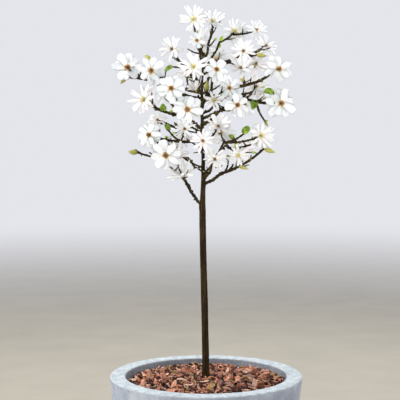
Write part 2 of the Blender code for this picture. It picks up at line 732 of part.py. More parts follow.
def grow_sprays(finish, trunk_space):
    growths = [Growth(spray) for spray in SPRAYS]
    limbs = [trunk_shape(SPACE_MARGIN)]
    for bough in BOUGHS:
        path = bough_path(bough)
        radii = tapered(bough_radius(bough) + SPACE_MARGIN, LIMB_TAPER, len(path))
        limbs.append(limb(path, radii, 6))
    space = Space(growths, limbs)
    extras = {growth: [] for growth in growths}
    for make in (Growth.buds, Growth.twiglets, Growth.leaves):
        for growth in growths:
            for shapes, room in make(growth):
                if space.free(growth, room) or make is Growth.buds:
                    extras[growth] += shapes
                    space.take(growth, [room])
    for growth in growths:
        spray = growth.spray
        pieces = growth.wood() + extras[growth]
        for number in range(len(growth.blooms)):
            pieces.append(growth.bloom(number, lambda centre, room: space.fits(growth, centre, room)))
        obj = add_solid(spray.name + "_spray", *pieces[0], finish)
        leaves_trunk = spray.on == "trunk" and spray.height < TRUNK_HEIGHT
        fuse(obj, pieces[1:], trunk_space if leaves_trunk else None)


def main():
    clear_scene()
    fired_clay = material("grey clay", (0.42, 0.43, 0.45), 0.85)
    soil = material("dark soil", (0.05, 0.035, 0.025), 0.95)
    bark = material("bark chips", (0.27, 0.12, 0.08), 0.9)
    trunk_bark = material("olive brown bark", (0.10, 0.075, 0.045), 0.8)
    blossom = material("white blossom", (0.86, 0.84, 0.82), 0.6)
    trunk_space = add_solid("trunk space", *trunk_shape(1.25 * CLEARANCE))
    trunk_space.hide_render = True
    trunk_space.display_type = "WIRE"
    make_pot(fired_clay)
    make_soil(soil)
    make_bark(bark, trunk_space)
    add_solid("trunk", *trunk_shape(0.0), trunk_bark, smooth=40)
    for bough in BOUGHS:
        make_bough(bough, trunk_bark, trunk_space)
    grow_sprays(blossom, trunk_space)


main()
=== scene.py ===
"""The finish of a potted star magnolia in flower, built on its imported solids.

Metres and degrees, +Z up, in the solids' own frame: the pot stands on the origin, and the
plant is seen first from -Y. Pot, bark bed, chips, trunk, boughs, twigs, blooms, buds and
leaves are surfaces worked out as whole arrays and joined by kind. Limbs and blooms stand
where the growth rule of the solids puts them, and the rule is carried on to finer twigs.
"""

import math
import random
from collections import namedtuple

import bpy
import numpy as np
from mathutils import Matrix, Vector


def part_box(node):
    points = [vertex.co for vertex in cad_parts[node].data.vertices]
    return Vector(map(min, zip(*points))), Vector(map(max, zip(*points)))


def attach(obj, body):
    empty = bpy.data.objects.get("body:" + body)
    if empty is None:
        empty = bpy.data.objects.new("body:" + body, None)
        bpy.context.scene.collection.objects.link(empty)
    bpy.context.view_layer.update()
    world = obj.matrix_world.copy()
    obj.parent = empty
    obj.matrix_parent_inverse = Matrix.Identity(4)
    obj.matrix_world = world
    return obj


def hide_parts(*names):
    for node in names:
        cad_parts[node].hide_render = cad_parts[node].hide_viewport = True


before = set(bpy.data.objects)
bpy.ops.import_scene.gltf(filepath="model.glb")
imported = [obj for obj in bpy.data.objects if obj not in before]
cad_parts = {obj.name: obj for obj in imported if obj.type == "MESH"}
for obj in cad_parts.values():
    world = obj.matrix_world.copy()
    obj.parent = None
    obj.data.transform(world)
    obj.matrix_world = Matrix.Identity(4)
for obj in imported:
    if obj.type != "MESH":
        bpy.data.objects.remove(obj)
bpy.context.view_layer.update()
TAU = math.tau


class Seed:
    """One for each thing that is drawn."""

    pot_waves, pot_ripples, bed_lumps, bed_crumbs, pits, chips = 1, 2, 3, 4, 21, 31
    flutes, ridges, grain, fine_twigs, blooms, end_buds, leaves, tufts = 6, 7, 8, 5, 77, 9, 17, 18
    boughs, bough_spurs, stems, twigs, twiglets, twig_spurs = 41, 42, 43, 44, 45, 46


# Pot: its outline, from the frame and from its own sizes
RIM_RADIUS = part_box("pot")[1].x
POT_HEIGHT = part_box("pot")[1].z
LIP_WIDTH = 0.048
LIP_DEPTH = 0.055
LIP_ROUND = 0.005
COLLAR_SHARE = 0.39
COLLAR_TAPER = 0.018
COLLAR_STEP = 0.015
BODY_TAPER = 0.030
FOOT_ROUND = 0.012
WALL = 0.022
FLOOR = 0.026
MOUTH_RADIUS = RIM_RADIUS - LIP_WIDTH
COLLAR_BASE = POT_HEIGHT * (1 - COLLAR_SHARE)
COLLAR_RADIUS = RIM_RADIUS - COLLAR_TAPER
BODY_RADIUS = COLLAR_RADIUS - COLLAR_STEP
FOOT_RADIUS = BODY_RADIUS - BODY_TAPER

# Bark bed
CLEARANCE = 0.0003
SOIL_TOP = 0.425
BARK_EDGE = 0.437
BARK_TOP = 0.454

# Trunk: its reach above the bark, its radius at heights above the bark, and the finished girth against it
TRUNK_HEIGHT = 0.964
TRUNK_GIRTH = (
    (-0.029, 0.0155), (0.000, 0.0125), (0.040, 0.0110), (0.500, 0.0100), (0.620, 0.0068),
    (0.800, 0.0057), (0.860, 0.0050), (0.900, 0.0036), (0.964, 0.0028),
)
TRUNK_TRIM = ((0.50, 0.955), (0.58, 0.83), (0.70, 0.76), (0.84, 0.70), (0.92, 0.85))
TRUNK_FOOT = -0.0010
TRUNK_LEAN = -0.0095
TRUNK_LEAN_HEIGHT = 0.52
TRUNK_BEND = (0.003, 6)
TRUNK_SWAY = (0.002, 16)

# Limbs, as in the solids. A side shoot's fork is drawn: its place on the limb, and its turn and lift
Fork = namedtuple("Fork", "share turn lift")
TWIG_FORK = Fork((0.15, 0.8), (25, 85), (-30, 50))
TWIGLET_FORK = Fork((0.3, 0.9), (30, 80), (-35, 45))
LIMB_BOW = 0.06
LIMB_ZIGZAG = 0.022
LIMB_TAPER = 0.72
LIMB_STEPS, TWIG_STEPS, TWIGLET_STEPS = 4, 3, 2
BOUGH_RADIUS = 0.0040
BOUGH_TO_TRUNK = 0.8
STEM_RADIUS = 0.0029
TWIG_RADIUS = 0.0023
TWIG_LENGTH = (0.055, 0.5)
BUD_TWIG = 0.6
TWIGLETS = 2
TWIGLET_RADIUS = 0.0018
TWIGLET_LENGTH = (0.025, 0.048)

# Blooms, buds and leaves, as in the solids
CUP = (62, -58)
TEPAL_STAGGER = 7
GAZE_RISE = (75, -70)
GAZE_JITTER = (35, 12)
GAZE_AND_TWIG = (0.8, 0.35)
BUD_LENGTH = 0.023
BUD_RADIUS = 0.0052
END_BUD_LENGTH = 0.010
END_BUD_RADIUS = 0.0026
SUNK = 0.004
LEAF_LENGTH = 0.024
LEAF_FORK = (0.45, 0.8)
LEAF_UNEVEN = (0.85, 1.15)

# What is carried on beyond the solids
FINE_TWIGS = 3  # more twiglets on each stem
FINE_LENGTH = (0.014, 0.034)
FINE_RADIUS = 0.0015
TO_BLOOM = 0.020  # a twiglet's end stays this far from a bloom's heart
CARRIER_GIRTH = 0.02  # a leaf's twig is thicker than a twiglet by this share of its length
STEM_OVER = 1.56  # girth of the finished stems against the solids' plain ones
BARK_OVER = 1.34  # and of the finished twigs
BACK_BLOOM = 1.14  # size of the blooms out of sight against the solids'

# Boughs: where and how each leaves the trunk, and its finished girth at the foot against the solids'
Bough = namedtuple("Bough", "height azimuth rise length stout")
BOUGHS = {
    "low_left": Bough(0.515, -145, 50, 0.080, 1.0),
    "low_right": Bough(0.580, -15, 30, 0.060, 1.1),
    "inner_right": Bough(0.605, -30, 55, 0.120, 0.72),
    "mid_left": Bough(0.630, -155, 25, 0.070, 0.62),
    "front_left": Bough(0.745, -115, 20, 0.085, 1.0),
    "high_left": Bough(0.795, 180, -5, 0.085, 1.0),
    "far_left": Bough(0.835, -150, 15, 0.130, 1.0),
    "mid_right": Bough(0.755, -35, 35, 0.080, 1.15),
    "far_right": Bough(0.775, -15, 30, 0.130, 1.0),
    "upper_right": Bough(0.820, -5, 25, 0.110, 1.0),
    "top_left": Bough(0.870, 145, 45, 0.085, 1.0),
    "top_right": Bough(0.905, -25, 30, 0.070, 1.1),
    "crest_right": Bough(0.920, 30, 55, 0.100, 1.0),
    "back_low_left": Bough(0.615, 120, 25, 0.105, 0.55),
    "back_low_right": Bough(0.645, 50, 25, 0.115, 0.55),
    "back_mid_left": Bough(0.730, 120, 25, 0.135, 0.8),
    "back_mid_right": Bough(0.790, 55, 25, 0.135, 0.8),
    "back_high_right": Bough(0.875, 65, 30, 0.120, 0.8),
}

# The form of each bloom: broad tepals wide open, narrow ones in a star, the same with a yellow green
# heart, or an upright cup
OPEN, STAR, LIMY, CUPPED, BUD = "open", "star", "limy", "cupped", "bud"

# Sprays: the foot is a bough or a height on the trunk. The tips are those of the stem and of its side
# twigs. A bloom in sight says where it looks (azimuth, rise), its age and its size against the solids'.
# A flower bud says where it points, its length and girth against the solids', how far it is drawn back
# on its twig, and its fur (0 yellow green, 1 olive, 2 brown). The other blooms follow the spray's gaze
# and age
# Buds in the crown's shade have fur 0, the lighter yellow green, as painted light
Spray = namedtuple("Spray", "name foot azimuth rise reach leaves seed tips gaze age", defaults=(None, None))
SPRAYS = (
    Spray("low_left", "low_left", -120, 45, 0.040, 0, 56304,
          ((STAR, -136, 50, 0.50, 1.26), (BUD, -150, 40, 0.75, 0.80, 0.004, 2))),
    Spray("low_right", "low_right", 0, 30, 0.150, 0, 3041,
          ((BUD, 0, -18, 1.45, 1.40, -0.002, 0), (LIMY, -86, 18, 0.80, 0.80),
           (BUD, 0, -14, 1.30, 1.05, -0.001, 0))),
    Spray("low_front", 0.590, -65, 40, 0.100, 0, 1, ((STAR, -82, 26, 0.75, 0.90),)),
    Spray("inner_right", "inner_right", 10, 10, 0.115, 1, 11203, ((LIMY, -72, 16, 0.80, 1.02),)),
    Spray("mid_left", "mid_left", -165, 6, 0.140, 0, 533965,
          ((BUD, 180, 6, 1.20, 1.50, 0.000, 1), (OPEN, -92, 6, 0.90, 1.06), (STAR, -62, 36, 0.60, 0.92))),
    Spray("front_low", 0.675, -90, 15, 0.130, 0, 12671,
          ((STAR, -104, 14, 0.80, 0.86), (CUPPED, -84, 34, 0.46, 1.00))),
    Spray("left", 0.710, -150, 5, 0.180, 1, 12179,
          ((OPEN, -112, 8, 0.95, 0.92), (STAR, -100, 14, 0.75, 0.80))),
    Spray("left_upper", 0.735, 170, 15, 0.140, 1, 1, ((STAR, -108, 14, 0.70, 0.70),)),
    Spray("front_left", "front_left", -115, 33, 0.150, 0, 34908,
          ((OPEN, -95, 8, 0.95, 0.92), (OPEN, -92, 2, 1.00, 0.96))),
    Spray("high_left", "high_left", 160, 25, 0.105, 1, 1585,
          ((LIMY, -118, 8, 0.80, 1.08), (STAR, 160, 30, 0.70, 1.00))),
    Spray("far_left", "far_left", -165, 25, 0.120, 0, 578382,
          ((OPEN, -97, 14, 0.90, 1.00), (OPEN, -78, 4, 0.95, 0.95),
           (BUD, 180, -46, 1.05, 1.15, -0.003, 1), (BUD, 162, 44, 1.00, 1.50, 0.000, 0))),
    Spray("front_high", 0.850, -100, 27, 0.150, 0, 13197, ((LIMY, -95, 26, 0.72, 1.06),)),
    Spray("front_right", 0.810, -70, 40, 0.160, 0, 798572,
          ((OPEN, -90, 12, 0.90, 0.82), (OPEN, -86, 10, 0.85, 0.74), (CUPPED, -128, 50, 0.32, 0.68),
           (BUD, -80, 80, 1.50, 1.60, 0.020, 0))),
    Spray("mid_right", "mid_right", -65, 5, 0.110, 1, 50266,
          ((OPEN, -86, 8, 0.90, 0.86), (LIMY, -98, 22, 0.80, 0.74))),
    Spray("right", "far_right", -20, -10, 0.130, 1, 14547,
          ((OPEN, -78, 6, 0.95, 1.06), (STAR, -88, 14, 0.70, 0.82))),
    Spray("upper_right", "upper_right", -25, 20, 0.145, 1, 34571,
          ((OPEN, -78, 12, 0.95, 0.95), (CUPPED, -100, 38, 0.52, 1.20),
           (BUD, -60, 78, 1.15, 1.35, 0.017, 0))),
    Spray("top_left", "top_left", 155, 50, 0.070, 0, 1, ((STAR, -112, 16, 0.70, 0.95),)),
    Spray("top_right", "top_right", 5, 20, 0.140, 0, 3403,
          ((STAR, -64, 26, 0.75, 0.86), (STAR, -88, 12, 0.85, 0.84), (BUD, 8, -6, 1.30, 1.40, 0.000, 0))),
    Spray("crest_right", "crest_right", 20, 35, 0.060, 0, 6967,
          ((LIMY, -92, 8, 0.92, 1.00), (STAR, -78, 16, 0.75, 0.74))),
    Spray("leader_left", TRUNK_HEIGHT, 175, 75, 0.107, 0, 16259, ((LIMY, -97, 16, 0.80, 1.06),)),
    Spray("leader_front", 0.940, -110, 50, 0.080, 0, 1, ((OPEN, -94, 12, 0.85, 0.56),)),
    Spray("leader_right", 0.940, 50, 70, 0.132, 0, 8753,
          ((LIMY, -84, 32, 0.48, 0.98), (STAR, -22, 25, 0.45, 1.25))),
    Spray("back_low_left", "back_low_left", 140, 15, 0.095, 1, 6689, ((OPEN,), (STAR,), (OPEN,)), 110, 0.8),
    Spray("back_low_right", "back_low_right", 55, -10, 0.095, 0, 7867, ((STAR,), (OPEN,), (OPEN,)), 70, 0.8),
    Spray("back_mid_left", "back_mid_left", 120, 35, 0.135, 1, 6455, ((OPEN,), (STAR,)), 120, 0.85),
    Spray("back_mid_right", "back_mid_right", 30, 10, 0.125, 1, 12023, ((OPEN,), (STAR,), (OPEN,)), 60, 0.85),
    Spray("back_high_left", 0.850, 140, 20, 0.200, 1, 16345, ((OPEN,), (STAR,)), 130, 0.6),
    Spray("back_high_right", "back_high_right", 20, 25, 0.095, 1, 164, ((STAR,), (OPEN,), (STAR,)), 85, 0.7),
)

# Leaves in sight, in place of the spray's drawn ones: share of the stem, azimuth, rise, size against
# LEAF_LENGTH and, where it has one, the azimuth, rise and length of the twig that carries it
SHOWN_LEAVES = {
    "high_left": ((0.30, -100, 50, 1.10), (0.03, 175, 75, 0.60)),
    "left": ((0.42, -150, 62, 1.0, 172, 42, 0.046), (0.66, 140, 65, 0.6)),
    "top_left": ((0.03, -160, -20, 1.0, 178, -2, 0.038),),
    "inner_right": ((0.06, -40, 55, 1.2, -2, 26, 0.058), (0.34, 165, 30, 0.95, 150, 50, 0.012),
                    (0.33, -90, -75, 0.8)),
    "right": ((0.40, -112, -48, 1.30), (0.94, -160, 20, 1.30, 165, 62, 0.030),
              (0.42, -40, 30, 0.5, -8, -66, 0.066)),
    "low_right": ((0.10, -60, 75, 0.95, 30, 70, 0.034),),
    "crest_right": ((0.05, -30, 60, 0.84), (0.0, -80, -75, 0.70)),
    "back_mid_right": ((0.10, 60, 20, 0.95),),
}


# Surfaces as arrays

Shape = namedtuple("Shape", "points quads triangles quad_tones triangle_tones")


def stacked(*parts):
    return np.stack(np.broadcast_arrays(*parts), axis=-1)


def swung(radius, height, angle):
    """Points at that radius and height, swung round the upright axis."""
    return stacked(radius * np.cos(angle), radius * np.sin(angle), height)


def round_angles(count):
    return np.linspace(0, TAU, count, endpoint=False)


def unit(vectors):
    return vectors / np.linalg.norm(vectors, axis=-1, keepdims=True)


def eased(x):
    """From 0 to 1 by 3 x^2 - 2 x^3."""
    return x * x * (3 - 2 * x)


def square_to(axes):
    """A direction square to each axis."""
    helper = np.where(np.abs(axes[..., 2:]) > 0.8, [1.0, 0.0, 0.0], [0.0, 0.0, 1.0])
    return unit(np.cross(helper, axes))


def shells(rings, tones=0):
    """Closed shells from rings of points, an array (shell, ring, corner, 3). Quads join each ring to
    the next, and the first and the last ring shrink to their middle point. tones gives the finish of
    every face and is spread to (shell, band, corner)."""
    count, steps, around = rings.shape[:3]
    tones = np.broadcast_to(tones, (count, steps - 1, around))
    ends = rings[:, [0, -1]].mean(axis=2)
    points = np.concatenate([rings[:, 1:-1].reshape(count, -1, 3), ends], axis=1)
    stride = points.shape[1]
    offset = stride * np.arange(count)[:, None, None, None]
    grid = np.arange(stride - 2).reshape(steps - 2, around)
    after = np.roll(grid, -1, axis=1)
    quads = stacked(grid[:-1], after[:-1], after[1:], grid[1:]) + offset
    first = stacked(stride - 2, after[0], grid[0])
    last = stacked(stride - 1, grid[-1], after[-1])
    triangles = np.stack([first, last]) + offset
    tones = tones[:, 1:-1].ravel(), tones[:, [0, -1]].ravel()
    return Shape(points.reshape(-1, 3), quads.reshape(-1, 4), triangles.reshape(-1, 3), *tones)


def fill_in(things, count, **values):
    """Adds that many vertices, corners or faces to a mesh, with their values."""
    things.add(count)
    for key, value in values.items():
        things.foreach_set(key, value.ravel())


def add_piece(name, shapes, finishes, replaced=(), smooth=True):
    """One piece joined from shapes. It rides on the plant's one body, and stands for the solids named."""
    starts = np.cumsum([0] + [len(shape.points) for shape in shapes[:-1]])
    points = np.concatenate([shape.points for shape in shapes]).astype(np.float32)
    triangles = np.concatenate([shape.triangles + start for shape, start in zip(shapes, starts)])
    quads = np.concatenate([shape.quads + start for shape, start in zip(shapes, starts)])
    tones = [shape.triangle_tones for shape in shapes] + [shape.quad_tones for shape in shapes]
    tones = np.concatenate(tones).astype(np.int32)
    corners = np.concatenate([triangles.ravel(), quads.ravel()]).astype(np.int32)
    first = [3 * np.arange(len(triangles)), triangles.size + 4 * np.arange(len(quads))]
    first = np.concatenate(first).astype(np.int32)
    mesh = bpy.data.meshes.new(name)
    fill_in(mesh.vertices, len(points), co=points)
    fill_in(mesh.loops, len(corners), vertex_index=corners)
    rounded = np.full(len(first), smooth)
    fill_in(mesh.polygons, len(first), loop_start=first, material_index=tones, use_smooth=rounded)
    mesh.update(calc_edges=True)
    for finish in finishes:
        mesh.materials.append(finish)
    piece = bpy.data.objects.new(name, mesh)
    bpy.context.scene.collection.objects.link(piece)
    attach(piece, "root")
    if replaced:
        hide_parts(*replaced)


def soft_noise(seed, rows, columns, cells):
    """Values from -1 to 1 on a grid that closes round its columns: random values on a coarse grid of
    cells (down, round), eased between neighbours."""
    lattice = np.random.default_rng(seed).uniform(-1, 1, (cells[0] + 2, cells[1]))
    down = np.linspace(0, cells[0], rows)
    around = np.linspace(0, cells[1], columns, endpoint=False)
    low, left = down.astype(int), around.astype(int)
    climb, turn = eased(down - low)[:, None], eased(around - left)
    lattice = lattice[:, left] * (1 - turn) + lattice[:, (left + 1) % cells[1]] * turn
    return lattice[low] + (lattice[low + 1] - lattice[low]) * climb


def curve_through(controls, samples):
    """A smooth course through each limb's control points (limb, point, 3): between two of them the
    cubic that leaves each along the chord from the point before it to the point after."""
    count = controls.shape[1]
    before = 2 * controls[:, :1] - controls[:, 1:2]
    beyond = 2 * controls[:, -1:] - controls[:, -2:-1]
    padded = np.concatenate([before, controls, beyond], axis=1)
    place = np.linspace(0, count - 1, samples)
    i = np.minimum(place.astype(int), count - 2)
    f = (place - i)[None, :, None]
    a, b, c, d = (padded[:, i + k] for k in range(4))
    return b + f / 2 * (c - a + f * (2 * a - 5 * b + 4 * c - d + f * (3 * (b - c) + d - a)))


def tube(path, radii, sunk=0.0, tip=0.5, tones=0):
    """Round shells along paths (limb, point, 3), with radii (limb, point, corner). Each corner is
    path + (side cos a + across sin a) radius, side and across square to the course. The start is
    drawn back by sunk, and the end closes in a point beyond by tip times the radius there."""
    path = path.copy()
    along = unit(np.gradient(path, axis=1))
    path[:, 0] -= along[:, 0] * sunk
    side = np.broadcast_to(square_to(unit(path[:, -1:] - path[:, :1])), path.shape)
    side = unit(side - along * np.sum(side * along, axis=-1, keepdims=True))
    across = np.cross(along, side)
    angle = round_angles(radii.shape[2])[:, None]
    outward = side[:, :, None] * np.cos(angle) + across[:, :, None] * np.sin(angle)
    rings = path[:, :, None] + outward * radii[..., None]
    flat = np.zeros_like(rings[:, :1])
    end = path[:, -1:] + along[:, -1:] * (tip * radii[:, -1:, :1])
    return shells(np.concatenate([flat + path[:, :1, None], rings, flat + end[:, :, None]], axis=1), tones)


RIPPLES = 1.5  # how many run along a blade's edge
MEASURES = "length width thickness low high lift bend swerve twist hollow ripple phase"
Blades = namedtuple("Blades", "root out up " + MEASURES)


def blade_rows(draw, root, out, up, **measures):
    """One row a blade. A measure is a number, one number a blade, or a pair that each draws between."""
    values = []
    for key in MEASURES.split():
        value = measures.get(key, 0.0)
        drawn = isinstance(value, tuple)
        values.append(draw.uniform(*value, len(root)) if drawn else np.broadcast_to(value, len(root)))
    return Blades(root, out, np.broadcast_to(up, root.shape), *values)


def joined_rows(rows):
    return Blades(*map(np.concatenate, zip(*rows)))


def blades(rows, shares, around, tones=0):
    """Thin closed blades, one a row. At the share t of its length the middle line of a blade rises from
    out towards up by lift + bend t, and turns aside by swerve t. Half its width is width/2 times
    t^a (1-t)^b over the greatest value of that, with a = low and b = high. Its section is a lens,
    cos(angle) of the half width across and sin(angle) of half the thickness through, thinner over its
    last fifth. The edges stand up by hollow of the half width, ripple to and fro by a sine whose height
    is ripple 4 t (1-t), and the section turns by twist t."""
    t = np.asarray(shares)[None, :]
    row = Blades(*rows[:3], *(measure[:, None] for measure in rows[3:]))
    turns = row.lift + row.bend * t, row.swerve * t, row.twist * t
    rise, aside, roll = map(np.radians, turns)
    course = stacked(np.cos(rise) * np.cos(aside), np.cos(rise) * np.sin(aside), np.sin(rise))
    steps = (course[:, 1:] + course[:, :-1]) / 2 * np.diff(t)[..., None]
    middle = np.concatenate([np.zeros_like(steps[:, :1]), np.cumsum(steps, axis=1)], axis=1)
    middle = middle * row.length[..., None]
    level = stacked(-np.sin(aside), np.cos(aside), 0.0)
    normal = np.cross(course, level)
    roll = roll[..., None]
    across = level * np.cos(roll) + normal * np.sin(roll)
    normal = normal * np.cos(roll) - level * np.sin(roll)
    a, b = row.low, row.high
    greatest = (a / (a + b)) ** a * (b / (a + b)) ** b
    half = row.width / 2 * t**a * (1 - t) ** b / greatest
    angle = round_angles(around)
    edge = np.cos(angle) ** 2
    wave = np.sin(TAU * RIPPLES * t + row.phase)[..., None] * np.sign(np.cos(angle))
    sideways = half[..., None] * np.cos(angle)
    thick = row.thickness / 2 * np.minimum(1, 4 * (1 - t) + 0.3)
    upward = thick[..., None] * np.sin(angle) + half[..., None] * row.hollow[..., None] * edge
    upward = upward + row.ripple[..., None] * (t * (1 - t) * 4)[..., None] * edge * wave
    local = middle[:, :, None] + across[:, :, None] * sideways[..., None]
    local = local + normal[:, :, None] * upward[..., None]
    axes = np.stack([row.out, np.cross(row.up, row.out), row.up], axis=1)
    return shells(row.root[:, None, None] + np.einsum("nrkc,ncd->nrkd", local, axes), tones)


# Shader nodes


class Value:
    """A socket in shader maths: an operator on it, with a number or another value, adds a Math node."""

    def __init__(self, finish, socket):
        self.finish, self.socket = finish, socket

    def __add__(self, other):
        return self.finish.maths("ADD", self, other)

    def __sub__(self, other):
        return self.finish.maths("SUBTRACT", self, other)

    def __rsub__(self, other):
        return self.finish.maths("SUBTRACT", other, self)

    def __mul__(self, other):
        return self.finish.maths("MULTIPLY", self, other)

    __radd__, __rmul__ = __add__, __mul__


class Finish:
    """A material in the making. Constants go on the shader's own sockets, by name."""

    def __init__(self, name, specular, **constants):
        self.made = bpy.data.materials.new(name)
        self.made.use_nodes = True
        self.nodes, self.links = self.made.node_tree.nodes, self.made.node_tree.links
        self.shader = self.nodes["Principled BSDF"]
        self.set("Specular IOR Level", specular)
        for socket, value in constants.items():
            self.set(socket.replace("_", " "), value)
        self.place = self.node("ShaderNodeTexCoord", {}, "Object")

    def node(self, kind, sockets, output=0, **settings):
        """A node of that type. Its settings are set first, a ramp's stops among them, then its sockets."""
        node = self.nodes.new(kind)
        for setting, value in settings.items():
            if setting == "stops":
                self.set_stops(node.color_ramp, value)
            else:
                setattr(node, setting, value)
        for socket, value in sockets.items():
            self.fill(node.inputs[socket], value)
        return Value(self, node.outputs[output])

    def set_stops(self, ramp, stops):
        while len(ramp.elements) < len(stops):
            ramp.elements.new(0.5)
        for element, (place, colour) in zip(ramp.elements, stops):
            element.position = place
            element.color = (*colour, 1.0)

    def fill(self, socket, value):
        if isinstance(value, Value):
            self.links.new(value.socket, socket)
        else:
            socket.default_value = (*value, 1.0) if socket.type == "RGBA" else value

    def set(self, socket, value):
        self.fill(self.shader.inputs[socket], value)

    def maths(self, operation, a, b):
        return self.node("ShaderNodeMath", {0: a, 1: b}, operation=operation)

    def between(self, value, low, high):
        """0 below low, 1 above high, and eased between."""
        sockets = {"Value": value, "From Min": low, "From Max": high}
        return self.node("ShaderNodeMapRange", sockets, interpolation_type="SMOOTHSTEP")

    def stretched(self, *factors):
        return self.node("ShaderNodeVectorMath", {0: self.place, 1: factors}, operation="MULTIPLY")

    def length(self, vector):
        return self.node("ShaderNodeVectorMath", {0: vector}, "Value", operation="LENGTH")

    def noise(self, scale, detail=2.0, roughness=0.5, place=None):
        sockets = {"Vector": place or self.place, "Scale": scale, "Detail": detail, "Roughness": roughness}
        return self.node("ShaderNodeTexNoise", sockets, "Fac")

    def cells(self, scale, place=None):
        return self.node("ShaderNodeTexVoronoi", {"Vector": place or self.place, "Scale": scale}, "Distance")

    def mix(self, factor, a, b):
        return self.node("ShaderNodeMix", {0: factor, 6: a, 7: b}, 2, data_type="RGBA")

    def ramp(self, value, places, *colours):
        return self.node("ShaderNodeValToRGB", {"Fac": value}, stops=list(zip(places, colours)))

    def finished(self, colour, roughness, height, distance, strength=1.0):
        """Sets the colour, the roughness and a bump of that height, and gives the material."""
        self.set("Base Color", colour)
        self.set("Roughness", roughness)
        sockets = {"Strength": strength, "Distance": distance, "Height": height}
        self.set("Normal", self.node("ShaderNodeBump", sockets, "Normal"))
        return self.made

    def let_light_through(self, share, colour):
        """Mixes the shader with one that passes light on, as a thin petal or leaf does."""
        glow = self.node("ShaderNodeBsdfTranslucent", {"Color": colour})
        mixed = self.node("ShaderNodeMixShader", {0: share, 1: Value(self, self.shader.outputs[0]), 2: glow})
        self.fill(self.nodes["Material Output"].inputs["Surface"], mixed)


# Finishes


def fired_clay():
    """Weathered pale clay: mottled cool grey, chalky on the rim and in faint runs below it, with pits."""
    clay = Finish("weathered grey clay", 0.25)
    clouds = clay.noise(9, 6, 0.68)
    blots = clay.noise(38, 4, 0.6)
    speckle = clay.noise(190, 3, 0.7)
    runs = clay.noise(1, 4, 0.6, clay.stretched(22, 22, 5))
    height = clay.node("ShaderNodeSeparateXYZ", {0: clay.place}, "Z")
    radius = clay.length(clay.stretched(1, 1, 0))
    greys = (0.242, 0.275, 0.338), (0.345, 0.382, 0.450), (0.446, 0.486, 0.552)
    base = clay.ramp(clouds, (0.34, 0.50, 0.68), *greys)
    base = clay.mix(0.5 * clay.between(blots, 0.50, 0.66), base, (0.29, 0.305, 0.345))
    base = clay.mix(0.45 * clay.between(speckle, 0.48, 0.68), base, (0.53, 0.545, 0.57))
    base = clay.mix(0.40 * clay.between(runs + 0.6 * clouds, 0.76, 1.0), base, (0.56, 0.58, 0.61))
    on_rim = clay.between(height, POT_HEIGHT - 0.0052, POT_HEIGHT - 0.0022)
    chalk = clay.ramp(clay.noise(46, 5, 0.72), (0.36, 0.62), (0.308, 0.350, 0.372), (0.515, 0.568, 0.590))
    base = clay.mix(0.92 * on_rim, base, chalk)
    # The inner wall from the soil up to the rim is darkened: painted shade in the pot's mouth
    inside = 1 - clay.between(radius, MOUTH_RADIUS - 0.002, MOUTH_RADIUS + 0.006)
    inside = inside * (1 - on_rim) * clay.between(height, SOIL_TOP - 0.02, SOIL_TOP - 0.01)
    inner_wall_shade = clay.ramp(clay.noise(230, 4, 0.75), (0.38, 0.64), (0.052, 0.060, 0.068), (0.288, 0.302, 0.320))
    base = clay.mix(0.9 * inside, base, inner_wall_shade)
    pits = 1 - clay.between(clay.cells(85), 0.07, 0.17)
    pits = pits * clay.between(clay.noise(12, 2), 0.53, 0.62)
    base = clay.mix(0.85 * pits, base, (0.085, 0.09, 0.10))
    relief = clay.noise(340, 4, 0.7) * 0.35 + blots * 0.5 - pits * 1.6
    return clay.finished(base, 0.78 + 0.15 * speckle, relief, 0.0016)


def soil_with_gap_shade():
    # Damp soil, kept darker than the soil alone: painted shade in the gaps between the chips above it
    soil = Finish("damp potting soil", 0.2)
    crumbs = soil.noise(260, 5, 0.7)
    base = soil.ramp(crumbs, (0.35, 0.7), (0.012, 0.006, 0.004), (0.055, 0.030, 0.020))
    return soil.finished(base, 0.80 + 0.15 * crumbs, crumbs + 0.6 * soil.cells(190), 0.002)


def bark_chip(name, deep, face, edge):
    """A chip of bark: a fibrous face, darker in its pores, paler where it broke."""
    chip = Finish("chip " + name, 0.3)
    fibre = chip.noise(1, 4, 0.65, chip.stretched(520, 140, 300))
    patch = chip.noise(110, 3, 0.6)
    base = chip.ramp(fibre, (0.34, 0.52, 0.74), deep, face, edge)
    base = chip.mix(0.55 * chip.between(patch, 0.50, 0.66), base, deep)
    return chip.finished(base, 0.72 + 0.2 * fibre, fibre + 0.5 * patch, 0.0009)


def trunk_bark():
    """Smooth olive brown bark with upright streaks, grey patches and pale cross pores."""
    bark = Finish("olive brown bark", 0.10)
    streaks = bark.noise(1, 5, 0.62, bark.stretched(230, 230, 14))
    patches = bark.noise(30, 4, 0.6)
    browns = (0.006, 0.0036, 0.0008), (0.022, 0.0125, 0.003), (0.072, 0.044, 0.012)
    base = bark.ramp(streaks, (0.32, 0.52, 0.72), *browns)
    base = bark.mix(0.45 * bark.between(patches, 0.52, 0.68), base, (0.046, 0.032, 0.011))
    pores = 1 - bark.between(bark.cells(1, bark.stretched(150, 150, 330)), 0.10, 0.20)
    pores = pores * bark.between(bark.noise(70, 2), 0.48, 0.58)
    base = bark.mix(0.6 * pores, base, (0.16, 0.125, 0.075))
    relief = streaks + 0.35 * patches + 0.5 * pores
    return bark.finished(base, 0.62 + 0.25 * streaks, relief, 0.0011)


def twig_bark():
    """Dark brown young bark, speckled with pale pores and greyer where old."""
    bark = Finish("dark twig bark", 0.12)
    grain = bark.noise(420, 4, 0.6)
    patches = bark.noise(65, 3, 0.55)
    browns = (0.011, 0.0073, 0.002), (0.034, 0.0228, 0.005), (0.082, 0.060, 0.017)
    base = bark.ramp(patches, (0.36, 0.55, 0.72), *browns)
    pores = (1 - bark.between(bark.cells(620), 0.10, 0.22)) * bark.between(bark.noise(150, 2), 0.50, 0.60)
    base = bark.mix(0.7 * pores, base, (0.22, 0.165, 0.11))
    return bark.finished(base, 0.55 + 0.3 * grain, grain + 0.8 * pores, 0.0007)


